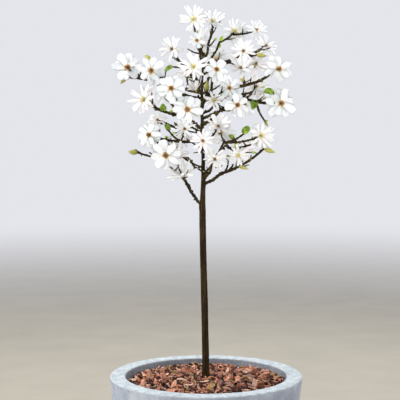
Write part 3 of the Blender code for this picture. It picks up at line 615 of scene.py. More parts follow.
def petal(name, colour, shade):
    """A thin petal: nearly even, with a faint cooler bloom in places and fine ribs."""
    tissue = Finish("petal " + name, 0.3)
    clouds = tissue.noise(130, 3, 0.55)
    fine = tissue.noise(900, 2, 0.5)
    base = tissue.mix(tissue.between(clouds, 0.42, 0.72), colour, shade)
    tissue.let_light_through(0.52, colour)
    return tissue.finished(base, 0.5, clouds + 0.35 * fine, 0.0006, 0.6)


def soft_plant(name, roughness, low, high, scale=400, depth=0.0006):
    """A small plant part: two near colours in fine grain, and a bump of the same grain."""
    part = Finish(name, 0.3)
    grain = part.noise(scale, 4, 0.6)
    return part.finished(part.ramp(grain, (0.36, 0.66), low, high), roughness + 0.2 * grain, grain, depth)


def leaf(name, low, high):
    """A young leaf: fresh green, paler in places, with a waxy face that lets light through."""
    blade = Finish("leaf " + name, 0.3, Coat_Weight=0.05, Coat_Roughness=0.35)
    clouds = blade.noise(150, 3, 0.6)
    fine = blade.noise(800, 2)
    base = blade.ramp(clouds, (0.36, 0.66), low, high)
    blade.let_light_through(0.25, high)
    return blade.finished(base, 0.38 + 0.2 * fine, clouds + 0.5 * fine, 0.0008)


# The finishes of pieces with several, numbered in the order that the names after each table give
CHIPS = (
    ("red brown", (0.070, 0.022, 0.012), (0.370, 0.140, 0.082), (0.66, 0.330, 0.230)),
    ("rose tan", (0.170, 0.056, 0.030), (0.660, 0.300, 0.185), (0.90, 0.580, 0.450)),
    ("dark", (0.014, 0.006, 0.003), (0.066, 0.025, 0.015), (0.19, 0.088, 0.060)),
    ("ochre", (0.120, 0.062, 0.020), (0.400, 0.245, 0.095), (0.66, 0.460, 0.235)),
    ("mauve brown", (0.065, 0.028, 0.020), (0.310, 0.150, 0.112), (0.56, 0.335, 0.265)),
    ("rust", (0.110, 0.032, 0.014), (0.460, 0.165, 0.080), (0.70, 0.340, 0.200)),
    ("pale", (0.250, 0.120, 0.080), (0.740, 0.480, 0.355), (0.94, 0.760, 0.650)),
)
CHIP_TONES = (0.21, 0.20, 0.15, 0.08, 0.14, 0.10, 0.12)
# The dark finish, also given to chips below the top layer as painted shade
PAINTED_SHADE_CHIP = 2
# The warm white is set brighter than the others: painted light for the star and cupped blooms, which stand in
# more shade
PETALS = (
    ("white", (0.895, 0.902, 0.902), (0.825, 0.838, 0.838)),
    ("cool white", (0.885, 0.902, 0.902), (0.805, 0.832, 0.832)),
    ("warm white", (0.948, 0.944, 0.935), (0.90, 0.895, 0.885)),
    ("blush", (0.95, 0.905, 0.912), (0.92, 0.855, 0.868)),
    ("pale cream", (0.91, 0.885, 0.82), (0.88, 0.85, 0.76)),
    ("cream", (0.90, 0.79, 0.64), (0.86, 0.73, 0.56)),
    ("peach base", (0.86, 0.69, 0.47), (0.79, 0.60, 0.39)),
    ("lime base", (0.88, 0.87, 0.60), (0.83, 0.83, 0.50)),
)
PURE, COOL, WARM_WITH_PAINTED_LIGHT, BLUSH, PALE, CREAM, PEACH, LIME = range(8)
CENTRES = (
    ("stamen tan", 0.55, (0.31, 0.160, 0.050), (0.51, 0.300, 0.105)),
    ("stamen brown", 0.55, (0.110, 0.055, 0.018), (0.26, 0.135, 0.045)),
    ("stamen cream", 0.55, (0.60, 0.42, 0.24), (0.80, 0.62, 0.40)),
    ("carpel green", 0.5, (0.44, 0.42, 0.110), (0.68, 0.64, 0.24)),
    ("receptacle", 0.6, (0.36, 0.35, 0.100), (0.58, 0.53, 0.21)),
    ("stamen yellow", 0.55, (0.78, 0.72, 0.32), (0.93, 0.88, 0.52)),
)
TAN, BROWN, MILKY, CARPEL, HOLDER, YELLOW = range(6)
# Yellow green fur is the lighter copy of the olive; buds in the crown's shade are given it as painted light
BUD_COATS = (
    ("bud fur yellow green", 0.7, (0.21, 0.195, 0.034), (0.56, 0.53, 0.155), 700, 0.0010),
    ("bud fur olive", 0.7, (0.14, 0.132, 0.026), (0.38, 0.362, 0.092), 700, 0.0010),
    ("bud scale brown", 0.6, (0.060, 0.036, 0.018), (0.175, 0.115, 0.055), 500, 0.0008),
)
OLIVE_FUR, BROWN_SCALE = 1, 2
LEAVES = (
    ("green", (0.055, 0.140, 0.007), (0.33, 0.47, 0.055)),
    ("light green", (0.27, 0.42, 0.030), (0.48, 0.64, 0.085)),
    ("pale tip", (0.330, 0.480, 0.120), (0.560, 0.680, 0.260)),
)
GREEN, LIGHT_GREEN, PALE_TIP = range(3)


def finishes(kind, table):
    return [kind(*row) for row in table]


# Pot and bark bed

OUTER_STEP = 0.0040
LIP_STEP = 0.0022
HIDDEN_STEP = 0.040
POT_COLUMNS = 440
POT_INSET = 0.0007  # keeps the waves inside the solid
# The waves' seed, how far they stand in and out, and how many go down and round the pot
POT_WAVES = ((Seed.pot_waves, 0.0004, (14, 18)), (Seed.pot_ripples, 0.0003, (45, 90)))
PITS = 90
PIT_RADIUS = (0.003, 0.0085)
PIT_DEPTH = (0.0004, 0.0016)
PIT_STRETCH = (0.7, 1.5)
CHIPPED = 14  # small bites along the edges of the rim
BITE = (0.8, 1.5)  # their size and depth against a pit's


def arc(centre, radius, start, end):
    """Points round part of a circle, at angles from the outward direction."""
    steps = max(3, round(abs(math.radians(end - start)) * radius / LIP_STEP) + 1)
    angle = np.radians(np.linspace(start, end, steps + 1))
    return np.array(centre) + radius * stacked(np.cos(angle), np.sin(angle))


def pot_outline():
    """The pot's section from the middle of its underside, up the outside, over the lip and down to the
    floor: arcs and corners, each reached in a straight line of even steps."""
    corner = POT_HEIGHT - LIP_ROUND
    lip_base = POT_HEIGHT - LIP_DEPTH
    wall_top = RIM_RADIUS - COLLAR_TAPER * 0.4 - WALL
    outline = np.zeros((1, 2))
    for step, bend in (
        (HIDDEN_STEP, arc((FOOT_RADIUS - FOOT_ROUND, FOOT_ROUND), FOOT_ROUND, -90, -6)),
        (OUTER_STEP, (BODY_RADIUS, COLLAR_BASE - COLLAR_STEP / 2)),
        (OUTER_STEP, (COLLAR_RADIUS, COLLAR_BASE)),
        (OUTER_STEP, arc((RIM_RADIUS - LIP_ROUND, corner), LIP_ROUND, 0, 90)),
        (OUTER_STEP, arc((MOUTH_RADIUS + LIP_ROUND, corner), LIP_ROUND, 90, 180)),
        (OUTER_STEP, (MOUTH_RADIUS, lip_base)),
        (HIDDEN_STEP, (wall_top, lip_base - (wall_top - MOUTH_RADIUS))),
        (HIDDEN_STEP, (FOOT_RADIUS - WALL, FLOOR)),
        (HIDDEN_STEP, (0, FLOOR)),
    ):
        bend = np.atleast_2d(bend)
        steps = max(2, round(math.dist(outline[-1], bend[0]) / step) + 1)
        share = np.linspace(0, 1, steps)[1:, None]
        outline = np.concatenate([outline, outline[-1] * (1 - share) + bend[0] * share, bend[1:]])
    return outline


def turned(outline, inward):
    """A surface of revolution: each point of the outline (radius, height) moved against the outline's
    own normal by inward (row, column), then swung round the upright axis."""
    slope = unit(np.gradient(outline, axis=0))
    radius = outline[:, :1] - slope[:, 1:] * inward
    height = outline[:, 1:] + slope[:, :1] * inward
    return swung(radius, height, round_angles(inward.shape[1]))[None]


def turn_from(angle, middle):
    """The shorter way round from middle to each angle."""
    return (angle - middle + math.pi) % TAU - math.pi


def make_pot():
    """Waves of half a millimetre, small round pits, and bites out of the edges of the rim."""
    outline = pot_outline()
    draw = np.random.default_rng(Seed.pits)
    inward = np.full((len(outline), POT_COLUMNS), POT_INSET)
    for seed, depth, cells in POT_WAVES:
        inward += depth * soft_noise(seed, *inward.shape, cells)
    walked = np.concatenate([[0], np.cumsum(np.linalg.norm(np.diff(outline, axis=0), axis=1))])[:, None]
    angle = round_angles(POT_COLUMNS)
    shown = np.flatnonzero((outline[:, 1] > FOOT_ROUND) & (outline[:, 0] > MOUTH_RADIUS - 0.001))
    edges = [np.argmax(outline[:, 0] + outline[:, 1]), np.argmax(outline[:, 1] - outline[:, 0])]
    for number in range(PITS + CHIPPED):
        pit = number < PITS
        row = shown[draw.integers(len(shown))] if pit else edges[number % 2]
        size = draw.uniform(*PIT_RADIUS) * (1 if pit else BITE[0])
        depth = draw.uniform(*PIT_DEPTH) * (1 if pit else BITE[1])
        turn = turn_from(angle, draw.uniform(0, TAU))
        away = np.hypot((walked - walked[row]) * draw.uniform(*PIT_STRETCH), turn * outline[row, 0])
        inward += depth * np.exp(-((away / size) ** 4) * 3)
    inward[outline[:, 1] < FOOT_ROUND * 0.5] = 0
    inward[(outline[:, 1] < POT_HEIGHT - LIP_DEPTH) & (outline[:, 0] < MOUTH_RADIUS)] = 0
    add_piece("clay_pot", [shells(turned(outline, inward))], [fired_clay()], ["pot"])


def bark_height(radius):
    return BARK_EDGE + (BARK_TOP - BARK_EDGE) * (1 - (radius / MOUTH_RADIUS) ** 2)


BED_ROWS, BED_COLUMNS = 70, 200
BED_DROP = 0.007  # the bed lies this far below the chips' mean level
BED_UNEVEN = 0.0024
BED_CELLS = ((30, 90), (66, 180))  # lumps and crumbs, down and round the bed
CHIP_LAYERS = ((-0.0095, 560), (-0.0045, 600), (0.0015, 430))  # level above the bark's height, and how many
CHIP_SIZES = ((0.013, 0.020), (0.019, 0.030), (0.028, 0.044))  # lengths, small, middling and long
CHIP_MIX = (0.38, 0.46, 0.16)
CHIP_WIDTH = (0.30, 0.62)  # width and thickness against the length
CHIP_DEPTH = (0.10, 0.22)
CHIP_DEPTHS = (0.0016, 0.0048)
CHIP_TILT = 0.48
CHIP_UNEVEN = (0.62, 1.12)  # how far its corners stand out
CHIP_CURL = (-0.24, 0.32)  # along its length, across its width, and sideways
CHIP_ROLL = (-0.5, 1.3)
CHIP_BOW = (-0.12, 0.12)
CHIP_RINGS = np.array([0, 0.03, 0.30, 0.68, 0.97, 1.0])
CHIP_CORNERS = 6
SUNKEN_SHADE_SHARE = 0.42  # share of the chips below the top layer that are given the dark finish as painted shade
GOLDEN_SHARE = 0.6180339887


def make_bed():
    """The bed under the chips: a low crumbly mound, closed by a wall and a flat base."""
    edge = MOUTH_RADIUS - 2 * CLEARANCE
    base = SOIL_TOP + CLEARANCE
    reach = edge * np.linspace(1, 0, BED_ROWS)
    outline = [(0, base), (edge * 0.5, base), (edge, base)]
    outline = np.concatenate([outline, stacked(reach, bark_height(reach) - BED_DROP)])
    rings = turned(outline, np.zeros((len(outline), BED_COLUMNS)))
    lumps = soft_noise(Seed.bed_lumps, BED_ROWS, BED_COLUMNS, BED_CELLS[0])
    lumps = lumps + 0.6 * soft_noise(Seed.bed_crumbs, BED_ROWS, BED_COLUMNS, BED_CELLS[1])
    rings[0, 3:, :, 2] += BED_UNEVEN * lumps * np.minimum(1, reach / 0.03)[:, None]
    add_piece("bark_bed", [shells(rings)], [soil_with_gap_shade()], ["bark_mulch"])


def make_chips():
    """Splinters of bark in three layers. Along its length x, from -1 to 1, a chip's half width is that of
    a rounded bar, (1 - x^4) to the power 0.35, its six corners stand unevenly, and it curls by a
    parabola in x and in its width. Those by the wall lie along it, and flatter."""
    draw = np.random.default_rng(Seed.chips)
    levels, numbers = np.array(CHIP_LAYERS).T
    level = np.repeat(levels, numbers.astype(int))
    count = len(level)

    def drawn(low, high):
        return draw.uniform(low, high, count)

    edge = MOUTH_RADIUS - 0.002
    length = draw.uniform(*np.array(CHIP_SIZES)[draw.choice(3, count, p=CHIP_MIX)].T)
    width = length * drawn(*CHIP_WIDTH)
    thickness = np.clip(length * drawn(*CHIP_DEPTH), *CHIP_DEPTHS)
    spread = (np.arange(count) * GOLDEN_SHARE + drawn(0, 0.15)) % 1
    out = np.maximum((edge - 0.33 * length) * np.sqrt(spread), 0.012 + 0.3 * length)
    place = drawn(0, TAU)
    by_wall = out > edge - 0.5 * length
    turn = np.where(by_wall, place + TAU / 4 + drawn(-0.35, 0.35), drawn(0, TAU))
    tilt = np.clip(draw.normal(0, CHIP_TILT, (2, count)), -1.0, 1.0) * np.where(by_wall, 0.6, 1)
    slope, lean = np.tan(tilt)
    along = unit(swung(1, slope, turn))
    across = unit(np.cross(stacked(-np.sin(turn) * lean, np.cos(turn) * lean, 1.0), along))
    up = np.cross(along, across)
    x = (CHIP_RINGS * 2 - 1)[:, None]
    angle = round_angles(CHIP_CORNERS) + 0.5
    corners = (count, len(CHIP_RINGS), CHIP_CORNERS)
    uneven = draw.uniform(*CHIP_UNEVEN, corners)
    girth = np.maximum(0, 1 - np.abs(x) ** 4) ** 0.35
    length, width, thickness = (size[:, None, None] for size in (length, width, thickness))
    wide = np.cos(angle) * girth * uneven * (width / 2)
    deep = np.sin(angle) * girth * uneven * (thickness / 2) * 1.5
    curl = drawn(*CHIP_CURL)[:, None, None]
    roll = drawn(*CHIP_ROLL)[:, None, None] / width
    deep = deep + curl * length * (x**2 - 0.3) + roll * (wide**2 - (width / 4) ** 2)
    wide = wide + drawn(*CHIP_BOW)[:, None, None] * length * x**2
    stray = 1 + 0.10 * draw.uniform(-1, 1, corners)
    middle = swung(out, bark_height(out) + level, place)[:, None, None]
    rings = middle + (x * (length / 2) * stray)[..., None] * along[:, None, None]
    rings = rings + wide[..., None] * across[:, None, None] + deep[..., None] * up[:, None, None]
    tones = draw.choice(len(CHIPS), count, p=CHIP_TONES)
    # Chips below the top layer take the dark finish at random: painted shade among the chips
    shaded_below = (level < CHIP_LAYERS[-1][0]) & (drawn(0, 1) < SUNKEN_SHADE_SHARE)
    tones = np.where(shaded_below, PAINTED_SHADE_CHIP, tones)[:, None, None]
    add_piece("bark_chips", [shells(rings, tones)], finishes(bark_chip, CHIPS), smooth=False)


# Growth


def heading(azimuth, rise):
    turn, lift = math.radians(azimuth), math.radians(rise)
    return np.array([math.cos(turn) * math.cos(lift), math.sin(turn) * math.cos(lift), math.sin(lift)])


def trunk_point(height):
    """The trunk leans a little to the left below its first bough, then runs up with a slight sway."""
    lean = TRUNK_LEAN * eased(np.clip(height / TRUNK_LEAN_HEIGHT, 0, 1))
    sway = TRUNK_SWAY[0] * np.sin(TRUNK_SWAY[1] * np.maximum(0, height - TRUNK_LEAN_HEIGHT))
    bend = TRUNK_BEND[0] * np.sin(TRUNK_BEND[1] * height)
    return stacked(TRUNK_FOOT + lean + sway, bend, BARK_TOP + height)


def trunk_radius(height):
    return np.interp(height, *zip(*TRUNK_GIRTH))


def limb_path(start, azimuth, rise, length, steps):
    """A chord whose middle hangs below it by a sine, with a small sideways kink at each joint."""
    out = heading(azimuth, rise)
    up = heading(azimuth, rise + 90)
    share = np.arange(steps + 1)[:, None] / steps
    kink = np.where(np.arange(steps + 1) % 2, 1, -1)[:, None] * LIMB_ZIGZAG * length
    kink[[0, -1]] = 0
    sag = LIMB_BOW * length * np.sin(math.pi * share)
    return start + out * length * share - up * sag + np.cross(out, up) * kink


def point_on(path, share):
    place = share * (len(path) - 1)
    i = min(int(place), len(path) - 2)
    return path[i] + (path[i + 1] - path[i]) * (place - i)


def end_way(path):
    return unit(path[-1] - path[-2])


def bough_path(bough):
    return limb_path(trunk_point(bough.height), bough.azimuth, bough.rise, bough.length, LIMB_STEPS)


def bough_radius(bough):
    return min(BOUGH_RADIUS, BOUGH_TO_TRUNK * trunk_radius(bough.height))


Bloom = namedtuple("Bloom", "centre axis form age size number")
Twig = namedtuple("Twig", "path radius tip", defaults=(None,))


class Growth:
    """One spray: its stem, its side twigs and twiglets, and where each ends."""

    def __init__(self, number, spray):
        self.number, self.spray = number, spray
        draw = random.Random(spray.seed)
        start, radius = self.foot()
        stem = limb_path(start, spray.azimuth, spray.rise, spray.reach, LIMB_STEPS)
        self.limbs = [Twig(stem, radius, spray.tips[0])]
        for tip in spray.tips[1:]:
            way = self.side_way(draw, stem, TWIG_FORK)
            length = TWIG_LENGTH[0] + TWIG_LENGTH[1] * draw.random() * spray.reach
            if tip[0] == BUD:
                length *= BUD_TWIG
            self.limbs.append(Twig(limb_path(*way, length, TWIG_STEPS), TWIG_RADIUS, tip))
        self.stem, *self.twigs = self.limbs

    def foot(self):
        """Where the stem starts, and how thick it is there."""
        foot = self.spray.foot
        if foot in BOUGHS:
            path = bough_path(BOUGHS[foot])
            return path[-1] + end_way(path) * CLEARANCE, bough_radius(BOUGHS[foot]) * LIMB_TAPER
        start = trunk_point(foot)
        if foot == TRUNK_HEIGHT:
            start = start + unit(start - trunk_point(TRUNK_HEIGHT - 0.01)) * CLEARANCE
        return start, min(STEM_RADIUS, BOUGH_TO_TRUNK * trunk_radius(foot))

    def side_way(self, draw, path, fork):
        """Where a side shoot starts on the path, its azimuth and its rise."""
        start = point_on(path, draw.uniform(*fork.share))
        azimuth = self.spray.azimuth + draw.choice((-1, 1)) * draw.uniform(*fork.turn)
        return start, azimuth, self.spray.rise + draw.uniform(*fork.lift)

    def blooms(self):
        """Each bloom's heart and axis: its own, or the spray's gaze with some stray, and its twig's way."""
        spray = self.spray
        in_bloom = [twig for twig in self.limbs if twig.tip[0] != BUD]
        for number, twig in enumerate(in_bloom):
            form, *look = twig.tip
            if look:
                azimuth, rise, age, size = look
                axis = heading(azimuth, rise)
            else:
                draw = random.Random(spray.seed * 10 + number)
                turn, lift = (draw.uniform(-jitter, jitter) for jitter in GAZE_JITTER)
                gaze = heading(spray.gaze + turn, GAZE_RISE[0] + GAZE_RISE[1] * spray.age + lift)
                axis = unit(gaze * GAZE_AND_TWIG[0] + end_way(twig.path) * GAZE_AND_TWIG[1])
                age, size = spray.age, BACK_BLOOM
            yield Bloom(twig.path[-1], axis, form, age, size, self.number * 10 + number)

    def twiglets(self, hearts):
        """The short bare side twigs of the solids, then finer ones on the stem and the side twigs, and those
        that carry leaves. A bare one whose end would come close to a bloom's heart is left out."""
        draw = random.Random(self.spray.seed + 7)
        finer = random.Random(Seed.fine_twigs * 1000 + self.number)
        shoots = [(draw, self.stem, TWIGLET_LENGTH, TWIGLET_RADIUS)] * TWIGLETS
        shoots += [(finer, self.stem, FINE_LENGTH, FINE_RADIUS)] * FINE_TWIGS
        shoots += [(finer, twig, FINE_LENGTH, FINE_RADIUS) for twig in self.twigs]
        for source, limb, lengths, radius in shoots:
            way = self.side_way(source, limb.path, TWIGLET_FORK)
            path = limb_path(*way, source.uniform(*lengths), TWIGLET_STEPS)
            if np.linalg.norm(hearts - path[-1], axis=1).min() > TO_BLOOM:
                yield Twig(path, radius)
        for share, _, _, _, *carrier in SHOWN_LEAVES.get(self.spray.name, ()):
            if carrier:
                radius = min(STEM_RADIUS, TWIGLET_RADIUS + CARRIER_GIRTH * carrier[2])
                yield Twig(limb_path(point_on(self.stem.path, share), *carrier, TWIGLET_STEPS), radius)

    def leaves(self):
        """Root, way, face and length of each leaf: those in sight, or the solids' own as they draw them."""
        spray, stem = self.spray, self.stem.path
        for share, azimuth, rise, size, *carrier in SHOWN_LEAVES.get(spray.name, ()):
            root = point_on(stem, share)
            if carrier:
                root = root + heading(*carrier[:2]) * carrier[2]
            yield root, heading(azimuth, rise), heading(-95, 25), size * LEAF_LENGTH
        if spray.name in SHOWN_LEAVES:
            return
        draw = random.Random(spray.seed + 13)
        for _ in range(spray.leaves):
            root = point_on(stem, draw.uniform(*LEAF_FORK))
            out = heading(spray.azimuth + draw.uniform(-90, 90), draw.uniform(0, 60))
            face = heading(draw.uniform(-180, 180), 60)
            yield root, out, face, LEAF_LENGTH * draw.uniform(*LEAF_UNEVEN)


# Wood

TRUNK_ROWS, TRUNK_COLUMNS = 520, 48
TRUNK_RELIEF = (0.055, 0.045, 0.018)  # depth of the flutes, ridges and grain, as shares of the radius
TRUNK_CELLS = ((Seed.flutes, (12, 5)), (Seed.ridges, (70, 15)), (Seed.grain, (230, 24)))  # up and round
COLLAR_SWELL = 0.26  # how far the trunk swells where a limb leaves it, as a share of its radius
COLLAR_REACH = (0.010, 0.9)  # upwards, and round the trunk
KNOB_GAP = 0.013
KNOB_SWELL = 0.32
KNOB_WIDTH = 0.13
FORK_SWELL = 0.35
FORK_REACH = 0.006
ROUGHNESS = 0.14
SPUR_GAP = 0.016
SPUR_PLACE = (0.4, 0.9)  # within its own share of the limb
SPUR_LENGTH = (0.0025, 0.0060)
SPUR_GIRTH = (0.5, 0.8)  # against the limb's
SPUR_LEAN = 0.7  # along the limb, against 1 outwards
SPUR_PROFILE = ((0, 1.0), (0.45, 0.85), (0.75, 1.1), (0.92, 0.95), (1.0, 0.5))
# Points along and corners round each limb
BOUGH_GRID, STEM_GRID, TWIG_GRID, TWIGLET_GRID = (60, 16), (48, 10), (32, 8), (14, 6)


def make_trunk():
    """The trunk's radius at each height and angle: its taper, times shallow flutes, fine upright ridges and
    a low swelling below and round each limb that leaves it."""
    height = np.linspace(SOIL_TOP + CLEARANCE - BARK_TOP, TRUNK_HEIGHT, TRUNK_ROWS)
    angle = round_angles(TRUNK_COLUMNS)
    size = TRUNK_ROWS, TRUNK_COLUMNS
    flutes, ridges, grain = (soft_noise(seed, *size, cells) for seed, cells in TRUNK_CELLS)
    deep, low, fine = TRUNK_RELIEF
    relief = deep * flutes + (low * (0.5 - np.abs(ridges)) + fine * grain)
    joints = [(bough.height, bough.azimuth) for bough in BOUGHS.values()]
    joints += [(spray.foot, spray.azimuth) for spray in SPRAYS if spray.foot not in BOUGHS]
    for level, azimuth in joints:
        turn = turn_from(angle, math.radians(azimuth))
        away = ((height - level + 0.002) / COLLAR_REACH[0])[:, None] ** 2 + (turn / COLLAR_REACH[1]) ** 2
        relief += COLLAR_SWELL * np.exp(-away)
    radius = (np.interp(height, *zip(*TRUNK_TRIM)) * trunk_radius(height))[:, None] * (1 + relief)
    rings = trunk_point(height)[:, None] + swung(1, 0, angle) * radius[..., None]
    rings = np.concatenate([rings[:1], rings, rings[-1:]])[None]
    add_piece("trunk_wood", [shells(rings)], [trunk_bark()], ["trunk"])


def woody(twigs, over, tip, grid, seed):
    """Limbs over times as thick as planned at their foot and tip times at their end. They swell at their
    fork and at each old bud scar, and are a little rough all over."""
    count = len(twigs)
    samples, around = grid
    path = curve_through(np.array([twig.path for twig in twigs]), samples)
    share = np.linspace(0, 1, samples)
    length = np.linalg.norm(path[:, -1] - path[:, 0], axis=1)[:, None]
    phase = np.random.default_rng(seed).uniform(0, 1, (count, 1))
    scar = (share * length / KNOB_GAP + phase) % 1 - 0.5
    swell = KNOB_SWELL * np.exp(-((scar / KNOB_WIDTH) ** 2))
    swell = swell + FORK_SWELL * np.exp(-share * length / FORK_REACH)
    rough = soft_noise(seed, count * samples, around, (count * samples // 2, around // 2))
    over, tip = (np.broadcast_to(times, count)[:, None] for times in (over, tip))
    girth = np.array([twig.radius for twig in twigs])[:, None] * (over + (tip - over) * share)
    radii = girth[..., None] * (1 + swell[..., None] + ROUGHNESS * rough.reshape(count, samples, around))
    return tube(path, radii, sunk=0.002)


def spurs(twigs, seed):
    """Short stubs that stand off the limbs where old buds and blooms were, each a small blunt cone."""
    draw = random.Random(seed)
    roots, ways, girths = [], [], []
    for twig in twigs:
        chord = twig.path[-1] - twig.path[0]
        length = float(np.linalg.norm(chord))
        along = unit(chord)
        side = square_to(along)
        for number in range(int(length / SPUR_GAP)):
            share = (number + draw.uniform(*SPUR_PLACE)) * SPUR_GAP / length
            turn = draw.uniform(0, TAU)
            out = side * math.cos(turn) + np.cross(along, side) * math.sin(turn)
            roots.append(point_on(twig.path, min(share, 0.95)))
            ways.append(unit(out + SPUR_LEAN * along) * (draw.uniform(*SPUR_LENGTH) + twig.radius))
            girths.append(twig.radius * draw.uniform(*SPUR_GIRTH))
    share, profile = np.array(SPUR_PROFILE).T
    path = np.array(roots)[:, None] + np.array(ways)[:, None] * share[:, None]
    return tube(path, np.array(girths)[:, None, None] * profile[:, None] * np.ones(6), tip=0.2)


# Blossom

Form = namedtuple("Form", "count length width low high bend lift hollow boss blushed body base")
# Star and cupped blooms take mostly the brightened warm white, as painted light in their shade
STAR_WHITES = (PURE, WARM_WITH_PAINTED_LIGHT, WARM_WITH_PAINTED_LIGHT, WARM_WITH_PAINTED_LIGHT)
# How many tepals a bloom has, their shape, how large its stamens stand, the share of blooms with a blush
# on their backs, the whites that are drawn from, and the first bands of a tepal from the heart outwards
FORMS = {
    OPEN: Form((8, 10), (0.034, 0.045), (0.0205, 0.0285), 0.74, 0.38, (-38, 18), -5, (-0.12, 0.36),
               1.06, 0.1, (PURE, PURE, COOL, COOL), (PEACH, PEACH, PALE)),
    STAR: Form((14, 18), (0.034, 0.045), (0.0078, 0.0116), 0.54, 0.42, (-54, 18), 4, (-0.15, 0.28),
               0.82, 0.2, STAR_WHITES, (CREAM, PALE, WARM_WITH_PAINTED_LIGHT)),
    CUPPED: Form((13, 16), (0.034, 0.042), (0.0110, 0.0155), 0.60, 0.42, (-26, 16), 2, (0.05, 0.34),
                 0.8, 0.9, STAR_WHITES, (CREAM, PALE, WARM_WITH_PAINTED_LIGHT)),
}
FORMS[LIMY] = FORMS[STAR]._replace(base=(LIME, LIME, PALE, WARM_WITH_PAINTED_LIGHT))
TEPAL_SHARES = (0, 0.06, 0.16, 0.26, 0.38, 0.52, 0.68, 0.82, 0.93, 0.985, 1)
TEPAL_CORNERS = 6
TEPAL_ROOT = (0.0026, 0.0008)  # out from the heart, and up or down for every other one
TEPAL_STRAY = (10.4, 9.6)  # of its turn and its lift
BLUSHED_PART = np.s_[:, 4:8, 3:5]  # each tepal's back from before its middle to short of its tip
# The measures of each kind of blade: a number, or what each draws between
TEPAL = dict(thickness=0.0008, swerve=(-20, 20), twist=(-32, 32), ripple=(0.0004, 0.0014), phase=(0, TAU))
STAMEN = dict(
    width=(0.0014, 0.0018), thickness=0.0009, low=0.55, high=0.30,
    bend=(5, 35), swerve=(-15, 15), twist=(-30, 30),
)
HAIR = dict(
    length=(0.0022, 0.0036), width=0.00030, thickness=0.00022, low=0.3, high=0.6,
    lift=(12, 38), bend=(-25, 5), swerve=(-20, 20),
)
SCALE = dict(
    length=(0.0095, 0.0135), width=(0.0062, 0.0078), thickness=0.0012, low=0.6, high=0.6,
    lift=(15, 60), bend=(-40, 10), swerve=(-12, 12), twist=(-15, 15), hollow=0.45, ripple=0.0002,
)
LEAF = dict(
    thickness=0.0007, low=(0.55, 0.75), high=(0.58, 0.85), lift=(-5, 20), bend=(-65, -20),
    swerve=(-18, 18), twist=(-30, 30), hollow=(0.45, 0.95), ripple=(0.0005, 0.0014), phase=(0, TAU),
)
STAMENS = 38
STAMEN_SHARES = (0, 0.35, 0.72, 0.94, 1)
STAMEN_LENGTH = (0.0056, 0.0074)
STAMEN_DOME = (0.0032, 0.0012, 0.0042)  # its radius at the foot, how much less at the top, and its height
STAMEN_SPREAD = (18, 26, 74)  # rise of the outer ones when old, how much more when young, and of the inner
GOLDEN_TURN = 137.5
CONE_GIRTH = 0.0022 * np.array([1.0, 1.1, 1.15, 1.1, 1.0, 0.88, 0.72, 0.52, 0.26])
CONE_CORNERS = 8
CONE_REACH = (-0.001, 0.0088)  # along the bloom's axis
CONE_KNOBS = 0.16
CUP_CORNERS = 10
CUP_PROFILE = (
    (-0.0085, 0.0020), (-0.0065, 0.0025), (-0.0045, 0.0033),
    (-0.0025, 0.0039), (-0.0005, 0.0037), (0.0010, 0.0026),
)
BUD_PROFILE = np.array((
    (0, 0.45), (0.07, 0.62), (0.16, 0.82), (0.28, 0.97), (0.40, 1.0),
    (0.54, 0.93), (0.68, 0.74), (0.81, 0.48), (0.92, 0.24), (1.0, 0.07),
)).T
FUR = 90
FUR_PLACE = (0.05, 0.85)
END_BUD_UNEVEN = (0.75, 1.1)
SCALE_SHARES = (0, 0.15, 0.45, 0.75, 0.95, 1)
SCALE_ROOT = (0.0070, 0.0016)  # below the bloom's heart, and out from its axis
LEAF_SHARES = (0, 0.05, 0.16, 0.30, 0.45, 0.60, 0.75, 0.87, 0.96, 1)
FULL_LEAF = 0.85  # from this share of LEAF_LENGTH on, a leaf has a smaller one beside it
BESIDE = (0.45, 0.7)  # the length of that one against its own
FULL_WIDTH, SMALL_WIDTH, BESIDE_WIDTH, TUFT_WIDTH = 0.72, 0.56, 0.62, 0.55  # against the leaf's length
BEHIND = 0.01  # pale tufts grow only on twiglets that end further back than this
TUFTED = 0.35  # and on this share of them
TUFT_LENGTH = (0.009, 0.015)


def bloom_draw(bloom, use):
    return np.random.default_rng((Seed.blooms, bloom.number, use))


def round_axis(axis, turn):
    """Outward directions at angles round an axis."""
    first = square_to(axis)
    second = np.cross(axis, first)
    return first * np.cos(turn)[:, None] + second * np.sin(turn)[:, None]


def tepal_rows(bloom):
    """One bloom's tepals: evenly round its axis with some stray, every other one higher."""
    form = FORMS[bloom.form]
    draw = bloom_draw(bloom, 1)
    count = draw.integers(form.count[0], form.count[1] + 1)
    number = np.arange(count)
    stray = draw.uniform(-1, 1, (2, count))
    turn = np.radians(draw.uniform(0, 360) + 360 * number / count + TEPAL_STRAY[0] * stray[0])
    higher = number % 2 * 2 - 1
    cup = CUP[0] + CUP[1] * bloom.age + form.lift
    out = round_axis(bloom.axis, turn)
    root = bloom.centre + out * TEPAL_ROOT[0] + bloom.axis * (TEPAL_ROOT[1] * higher)[:, None]
    return blade_rows(
        draw, root, out, bloom.axis, **TEPAL,
        length=draw.uniform(*form.length, count) * bloom.size,
        width=draw.uniform(*form.width, count) * bloom.size,
        low=(0.9 * form.low, 1.15 * form.low), high=(0.85 * form.high, 1.15 * form.high),
        lift=cup + TEPAL_STAGGER * higher + TEPAL_STRAY[1] * stray[1],
        bend=form.bend, hollow=form.hollow,
    )


def tepal_tones(bloom, count):
    """A warm base along each tepal, then the bloom's own white, and a blush on some backs."""
    form = FORMS[bloom.form]
    draw = bloom_draw(bloom, 2)
    tones = np.full((count, len(TEPAL_SHARES) - 1, TEPAL_CORNERS), draw.choice(form.body))
    if draw.uniform() < form.blushed:
        tones[BLUSHED_PART] = BLUSH
    tones[:, : len(form.base)] = np.array(form.base)[:, None]
    return tones


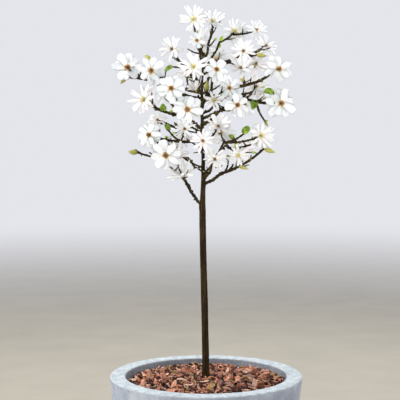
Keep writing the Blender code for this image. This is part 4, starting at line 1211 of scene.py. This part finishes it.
def stamen_rows(bloom):
    """A dome of stamens in a golden spiral, low and spread outside, upright within."""
    draw = bloom_draw(bloom, 3)
    number = np.arange(STAMENS)
    share = number / STAMENS
    out = round_axis(bloom.axis, np.radians(number * GOLDEN_TURN + draw.uniform(0, 360)))
    foot, less, rise = STAMEN_DOME
    dome = out * (foot - less * share)[:, None] + bloom.axis * (rise * share)[:, None]
    size = bloom.size * FORMS[bloom.form].boss
    old, young, inner = STAMEN_SPREAD
    spread = old + young * (1 - bloom.age)
    return blade_rows(
        draw, bloom.centre + dome * size, out, bloom.axis, **STAMEN,
        length=draw.uniform(*STAMEN_LENGTH, STAMENS) * (1 - 0.2 * share) * size,
        lift=spread + (inner - spread) * share + draw.uniform(-7, 7, STAMENS),
    )


def make_blossom(blooms):
    rows = [tepal_rows(bloom) for bloom in blooms]
    tones = [tepal_tones(bloom, len(row.root)) for bloom, row in zip(blooms, rows)]
    shape = blades(joined_rows(rows), TEPAL_SHARES, TEPAL_CORNERS, np.concatenate(tones))
    add_piece("tepals", [shape], finishes(petal, PETALS))


def make_centres(blooms):
    """Stamens, the cone of carpels within them, and the green cup that each bloom stands on."""
    stamens = joined_rows([stamen_rows(bloom) for bloom in blooms])
    draw = np.random.default_rng(Seed.blooms)
    tips = draw.choice((TAN, TAN, BROWN, BROWN), len(stamens.root))
    limy, wide = (np.repeat([bloom.form == form for bloom in blooms], STAMENS) for form in (LIMY, OPEN))
    tones = np.empty((len(tips), len(STAMEN_SHARES) - 1, 4), int)
    tones[:] = np.where(limy, draw.choice((YELLOW, YELLOW, TAN), len(tips)), tips)[:, None, None]
    tones[:, :2] = np.where(wide, TAN, MILKY)[:, None, None]
    centres = np.array([bloom.centre for bloom in blooms])[:, None]
    axes = np.array([bloom.axis for bloom in blooms])[:, None]
    rings = len(CONE_GIRTH)
    knobs = 1 + CONE_KNOBS * (-1.0) ** np.add.outer(np.arange(rings), np.arange(CONE_CORNERS))
    radii = np.broadcast_to(CONE_GIRTH[:, None] * knobs, (len(blooms), rings, CONE_CORNERS))
    cone_tones = np.array([CARPEL if bloom.form == LIMY else BROWN for bloom in blooms])[:, None, None]
    cone = tube(centres + axes * np.linspace(*CONE_REACH, rings)[:, None], radii, tones=cone_tones)
    level, girth = np.array(CUP_PROFILE).T[..., None]
    radii = np.broadcast_to(girth, (len(blooms), len(girth), CUP_CORNERS))
    holder = tube(centres + axes * level, radii, tones=HOLDER)
    shapes = [blades(stamens, STAMEN_SHARES, 4, tones), cone, holder]
    add_piece("flower_centres", shapes, finishes(soft_plant, CENTRES))


def bud_shape(roots, ways, lengths, radii, tones, around=12):
    """Furry buds: a spindle whose girth follows BUD_PROFILE, with a low seam on two sides."""
    share, girth = BUD_PROFILE
    path = roots[:, None] + (ways * lengths[:, None])[:, None] * share[:, None]
    angle = round_angles(around)
    seam = 1 + 0.07 * np.cos(2 * angle) + 0.03 * np.cos(5 * angle)
    return tube(path, radii[:, None, None] * girth[:, None] * seam, tones=tones[:, None, None])


def fur_rows(root, way, length, radius, seed):
    """Fine hairs that lie forward along a bud, each a thin blade rooted in its side."""
    draw = np.random.default_rng(seed)
    share = draw.uniform(*FUR_PLACE, FUR)
    out = round_axis(way, draw.uniform(0, TAU, FUR))
    girth = np.interp(share, *BUD_PROFILE) * radius * 0.96
    root = root + way * (share * length)[:, None] + out * girth[:, None]
    return blade_rows(draw, root, np.broadcast_to(way, (FUR, 3)), out, **HAIR)


def scale_rows(bloom):
    """The two furry scales that fold back under a bloom."""
    draw = bloom_draw(bloom, 4)
    out = round_axis(bloom.axis, draw.uniform(0, TAU) + np.array([0, math.pi]))
    root = bloom.centre - bloom.axis * SCALE_ROOT[0] + out * SCALE_ROOT[1]
    return blade_rows(draw, root, out, bloom.axis, **SCALE)


def make_buds(growths, twiglets, blooms):
    """Flower buds with their fur, the small buds that end the twiglets, and the scales under the blooms."""
    ends = [twig for growth in growths for twig in growth.limbs if twig.tip[0] == BUD]
    azimuths, rises, lengths, radii, back, tones = np.array([twig.tip[1:] for twig in ends]).T
    ways = np.array([heading(*angles) for angles in zip(azimuths, rises)])
    roots = np.array([twig.path[-1] for twig in ends]) - ways * back[:, None]
    lengths, radii, tones = BUD_LENGTH * lengths, BUD_RADIUS * radii, tones.astype(int)
    large = bud_shape(roots, ways, lengths, radii, tones)
    coats = [fur_rows(*row) for row in zip(roots, ways, lengths, radii, range(len(ends)))]
    fur = blades(joined_rows(coats), (0, 0.5, 1), 3, np.repeat(tones, FUR)[:, None, None])
    draw = np.random.default_rng(Seed.end_buds)
    ways = np.array([end_way(twig.path) for twig in twiglets])
    roots = np.array([twig.path[-1] for twig in twiglets]) - ways * SUNK * 0.5
    size = np.array([twig.radius for twig in twiglets]) / TWIGLET_RADIUS
    size = size * draw.uniform(*END_BUD_UNEVEN, len(twiglets))
    tones = draw.choice((OLIVE_FUR, BROWN_SCALE), len(twiglets))
    small = bud_shape(roots, ways, END_BUD_LENGTH * size, END_BUD_RADIUS * size, tones, 8)
    scales = blades(joined_rows([scale_rows(bloom) for bloom in blooms]), SCALE_SHARES, 6, BROWN_SCALE)
    add_piece("buds", [large, fur, small, scales], finishes(soft_plant, BUD_COATS))


def leaf_row(draw, root, out, face, length, broad):
    """One leaf as a blade, its face turned the way the solids turn it."""
    up = unit(face - out * np.dot(face, out))
    return blade_rows(draw, root[None], out[None], up[None], length=length, width=length * broad, **LEAF)


def make_leaves(growths, twiglets):
    """The leaves, a smaller one beside each full one, and pale tufts at the ends of some twiglets behind."""
    draw = np.random.default_rng(Seed.leaves)
    rows, tones = [], []
    for root, out, face, length in (leaf for growth in growths for leaf in growth.leaves()):
        full = length > FULL_LEAF * LEAF_LENGTH
        rows.append(leaf_row(draw, root, out, face, length, FULL_WIDTH if full else SMALL_WIDTH))
        tones.append(GREEN if full else LIGHT_GREEN)
        if full:
            beside = unit(out + 0.8 * np.cross(out, face) + 0.2 * face)
            length = length * draw.uniform(*BESIDE)
            rows.append(leaf_row(draw, root, beside, face, length, BESIDE_WIDTH))
            tones.append(LIGHT_GREEN)
    draw = np.random.default_rng(Seed.tufts)
    for path, _, _ in twiglets:
        if path[-1][1] > BEHIND and draw.uniform() < TUFTED:
            along = end_way(path)
            side = square_to(along)
            for way in (-1, 1):
                out = unit(along + 0.45 * way * side)
                face = side * way + along * 0.3
                rows.append(leaf_row(draw, path[-1], out, face, draw.uniform(*TUFT_LENGTH), TUFT_WIDTH))
                tones.append(PALE_TIP)
    shape = blades(joined_rows(rows), LEAF_SHARES, 8, np.array(tones)[:, None, None])
    add_piece("leaves", [shape], finishes(leaf, LEAVES))


def make_plant():
    growths = [Growth(number, spray) for number, spray in enumerate(SPRAYS)]
    blooms = [bloom for growth in growths for bloom in growth.blooms()]
    hearts = np.array([bloom.centre for bloom in blooms])
    twiglets = [twig for growth in growths for twig in growth.twiglets(hearts)]
    stems = [growth.stem for growth in growths]
    twigs = [twig for growth in growths for twig in growth.twigs]
    boughs = [Twig(bough_path(bough), bough_radius(bough)) for bough in BOUGHS.values()]
    make_trunk()
    young = twig_bark()
    twig_tip, stem_tip = LIMB_TAPER * BARK_OVER, LIMB_TAPER * STEM_OVER
    stout = np.array([bough.stout for bough in BOUGHS.values()])
    wood = [woody(boughs, stout, stem_tip * np.minimum(stout, 1), BOUGH_GRID, Seed.boughs)]
    wood.append(spurs(boughs, Seed.bough_spurs))
    add_piece("boughs", wood, [young], [name + "_bough" for name in BOUGHS])
    slim = [BOUGHS[spray.foot].stout if spray.foot in BOUGHS else 1 for spray in SPRAYS]
    slim = np.minimum(slim, 1.0)
    wood = [
        woody(stems, STEM_OVER * slim, stem_tip * (1 + slim) / 2, STEM_GRID, Seed.stems),
        woody(twigs, BARK_OVER, twig_tip, TWIG_GRID, Seed.twigs),
        woody(twiglets, BARK_OVER, twig_tip, TWIGLET_GRID, Seed.twiglets),
        spurs(stems + twigs, Seed.twig_spurs),
    ]
    add_piece("twigs", wood, [young], [spray.name + "_spray" for spray in SPRAYS])
    make_blossom(blooms)
    make_centres(blooms)
    make_buds(growths, twiglets, blooms)
    make_leaves(growths, twiglets)


# Studio

CAMERA_PLACE = (-0.0182, -3.2, 1.1735)
CAMERA_DIP = 3.35
CAMERA_LENS = 96.5
SENSOR_WIDTH = 36
FLOOR_RADIUS = 12.0
FLOOR_SIDES = 96
FLOOR_FADE = (2.4, 11.5)
SKY = (0.772, 0.784, 0.832, 1)
# Place, target, size, power, colour and spread of each light
LIGHTS = {
    "key": ((-3.4, -0.5, 2.9), (0, 0, 1.0), 1.4, 158, (1.0, 0.985, 0.96), 180),
    "fill": ((3.4, -0.9, 1.9), (0, 0, 0.9), 2.0, 33, (1.0, 0.99, 0.98), 180),
    "front": ((-0.2, -1.5, 2.4), (0, 0, 1.28), 0.9, 0.32, (1.0, 1.0, 1.0), 36),
    "low left": ((-1.8, -2.6, 0.3), (0, 0, 1.30), 0.7, 1.10, (1.0, 1.0, 1.0), 22),
    "low right": ((2.0, -2.5, 0.4), (0.03, 0, 1.30), 0.7, 1.25, (1.0, 1.0, 1.0), 22),
    "back": ((0.8, 2.8, 3.0), (0, 0, 1.2), 2.0, 60, (1.0, 1.0, 1.0), 180),
}


def put(name, data):
    thing = bpy.data.objects.new(name, data)
    bpy.context.scene.collection.objects.link(thing)
    return thing


def make_floor():
    corners = swung(FLOOR_RADIUS, 0, round_angles(FLOOR_SIDES))
    mesh = bpy.data.meshes.new("floor")
    mesh.from_pydata(corners.tolist(), [], [list(range(FLOOR_SIDES))])
    paving = Finish("pale floor", 0.1, Roughness=0.9)
    grain = paving.noise(3, 4, 0.6)
    paving.set("Base Color", paving.ramp(grain, (0.3, 0.7), (0.354, 0.329, 0.276), (0.391, 0.360, 0.302)))
    paving.set("Alpha", 1 - paving.between(paving.length(paving.place), *FLOOR_FADE))
    mesh.materials.append(paving.made)
    floor = put("floor", mesh)


def make_studio():
    scene = bpy.context.scene
    lens = bpy.data.cameras.new("camera")
    lens.lens = CAMERA_LENS
    lens.sensor_width = SENSOR_WIDTH
    scene.camera = put("camera", lens)
    scene.camera.location = CAMERA_PLACE
    scene.camera.rotation_euler = (math.radians(90 - CAMERA_DIP), 0, 0)
    make_floor()
    world = bpy.data.worlds.new("soft light")
    world.use_nodes = True
    world.node_tree.nodes["Background"].inputs["Color"].default_value = SKY
    scene.world = world
    for name, (place, target, size, power, colour, spread) in LIGHTS.items():
        lamp = bpy.data.lights.new(name, "AREA")
        lamp.shape = "DISK"
        lamp.size, lamp.energy, lamp.color = size, power, colour
        lamp.spread = math.radians(spread)
        holder = put(name, lamp)
        holder.location = place
        holder.rotation_euler = (Vector(target) - Vector(place)).to_track_quat("-Z", "Y").to_euler()
    scene.view_settings.view_transform = "Standard"


make_pot()
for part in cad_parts["potting_soil"].material_slots:
    part.material = soil_with_gap_shade()
make_bed()
make_chips()
make_plant()
make_studio()
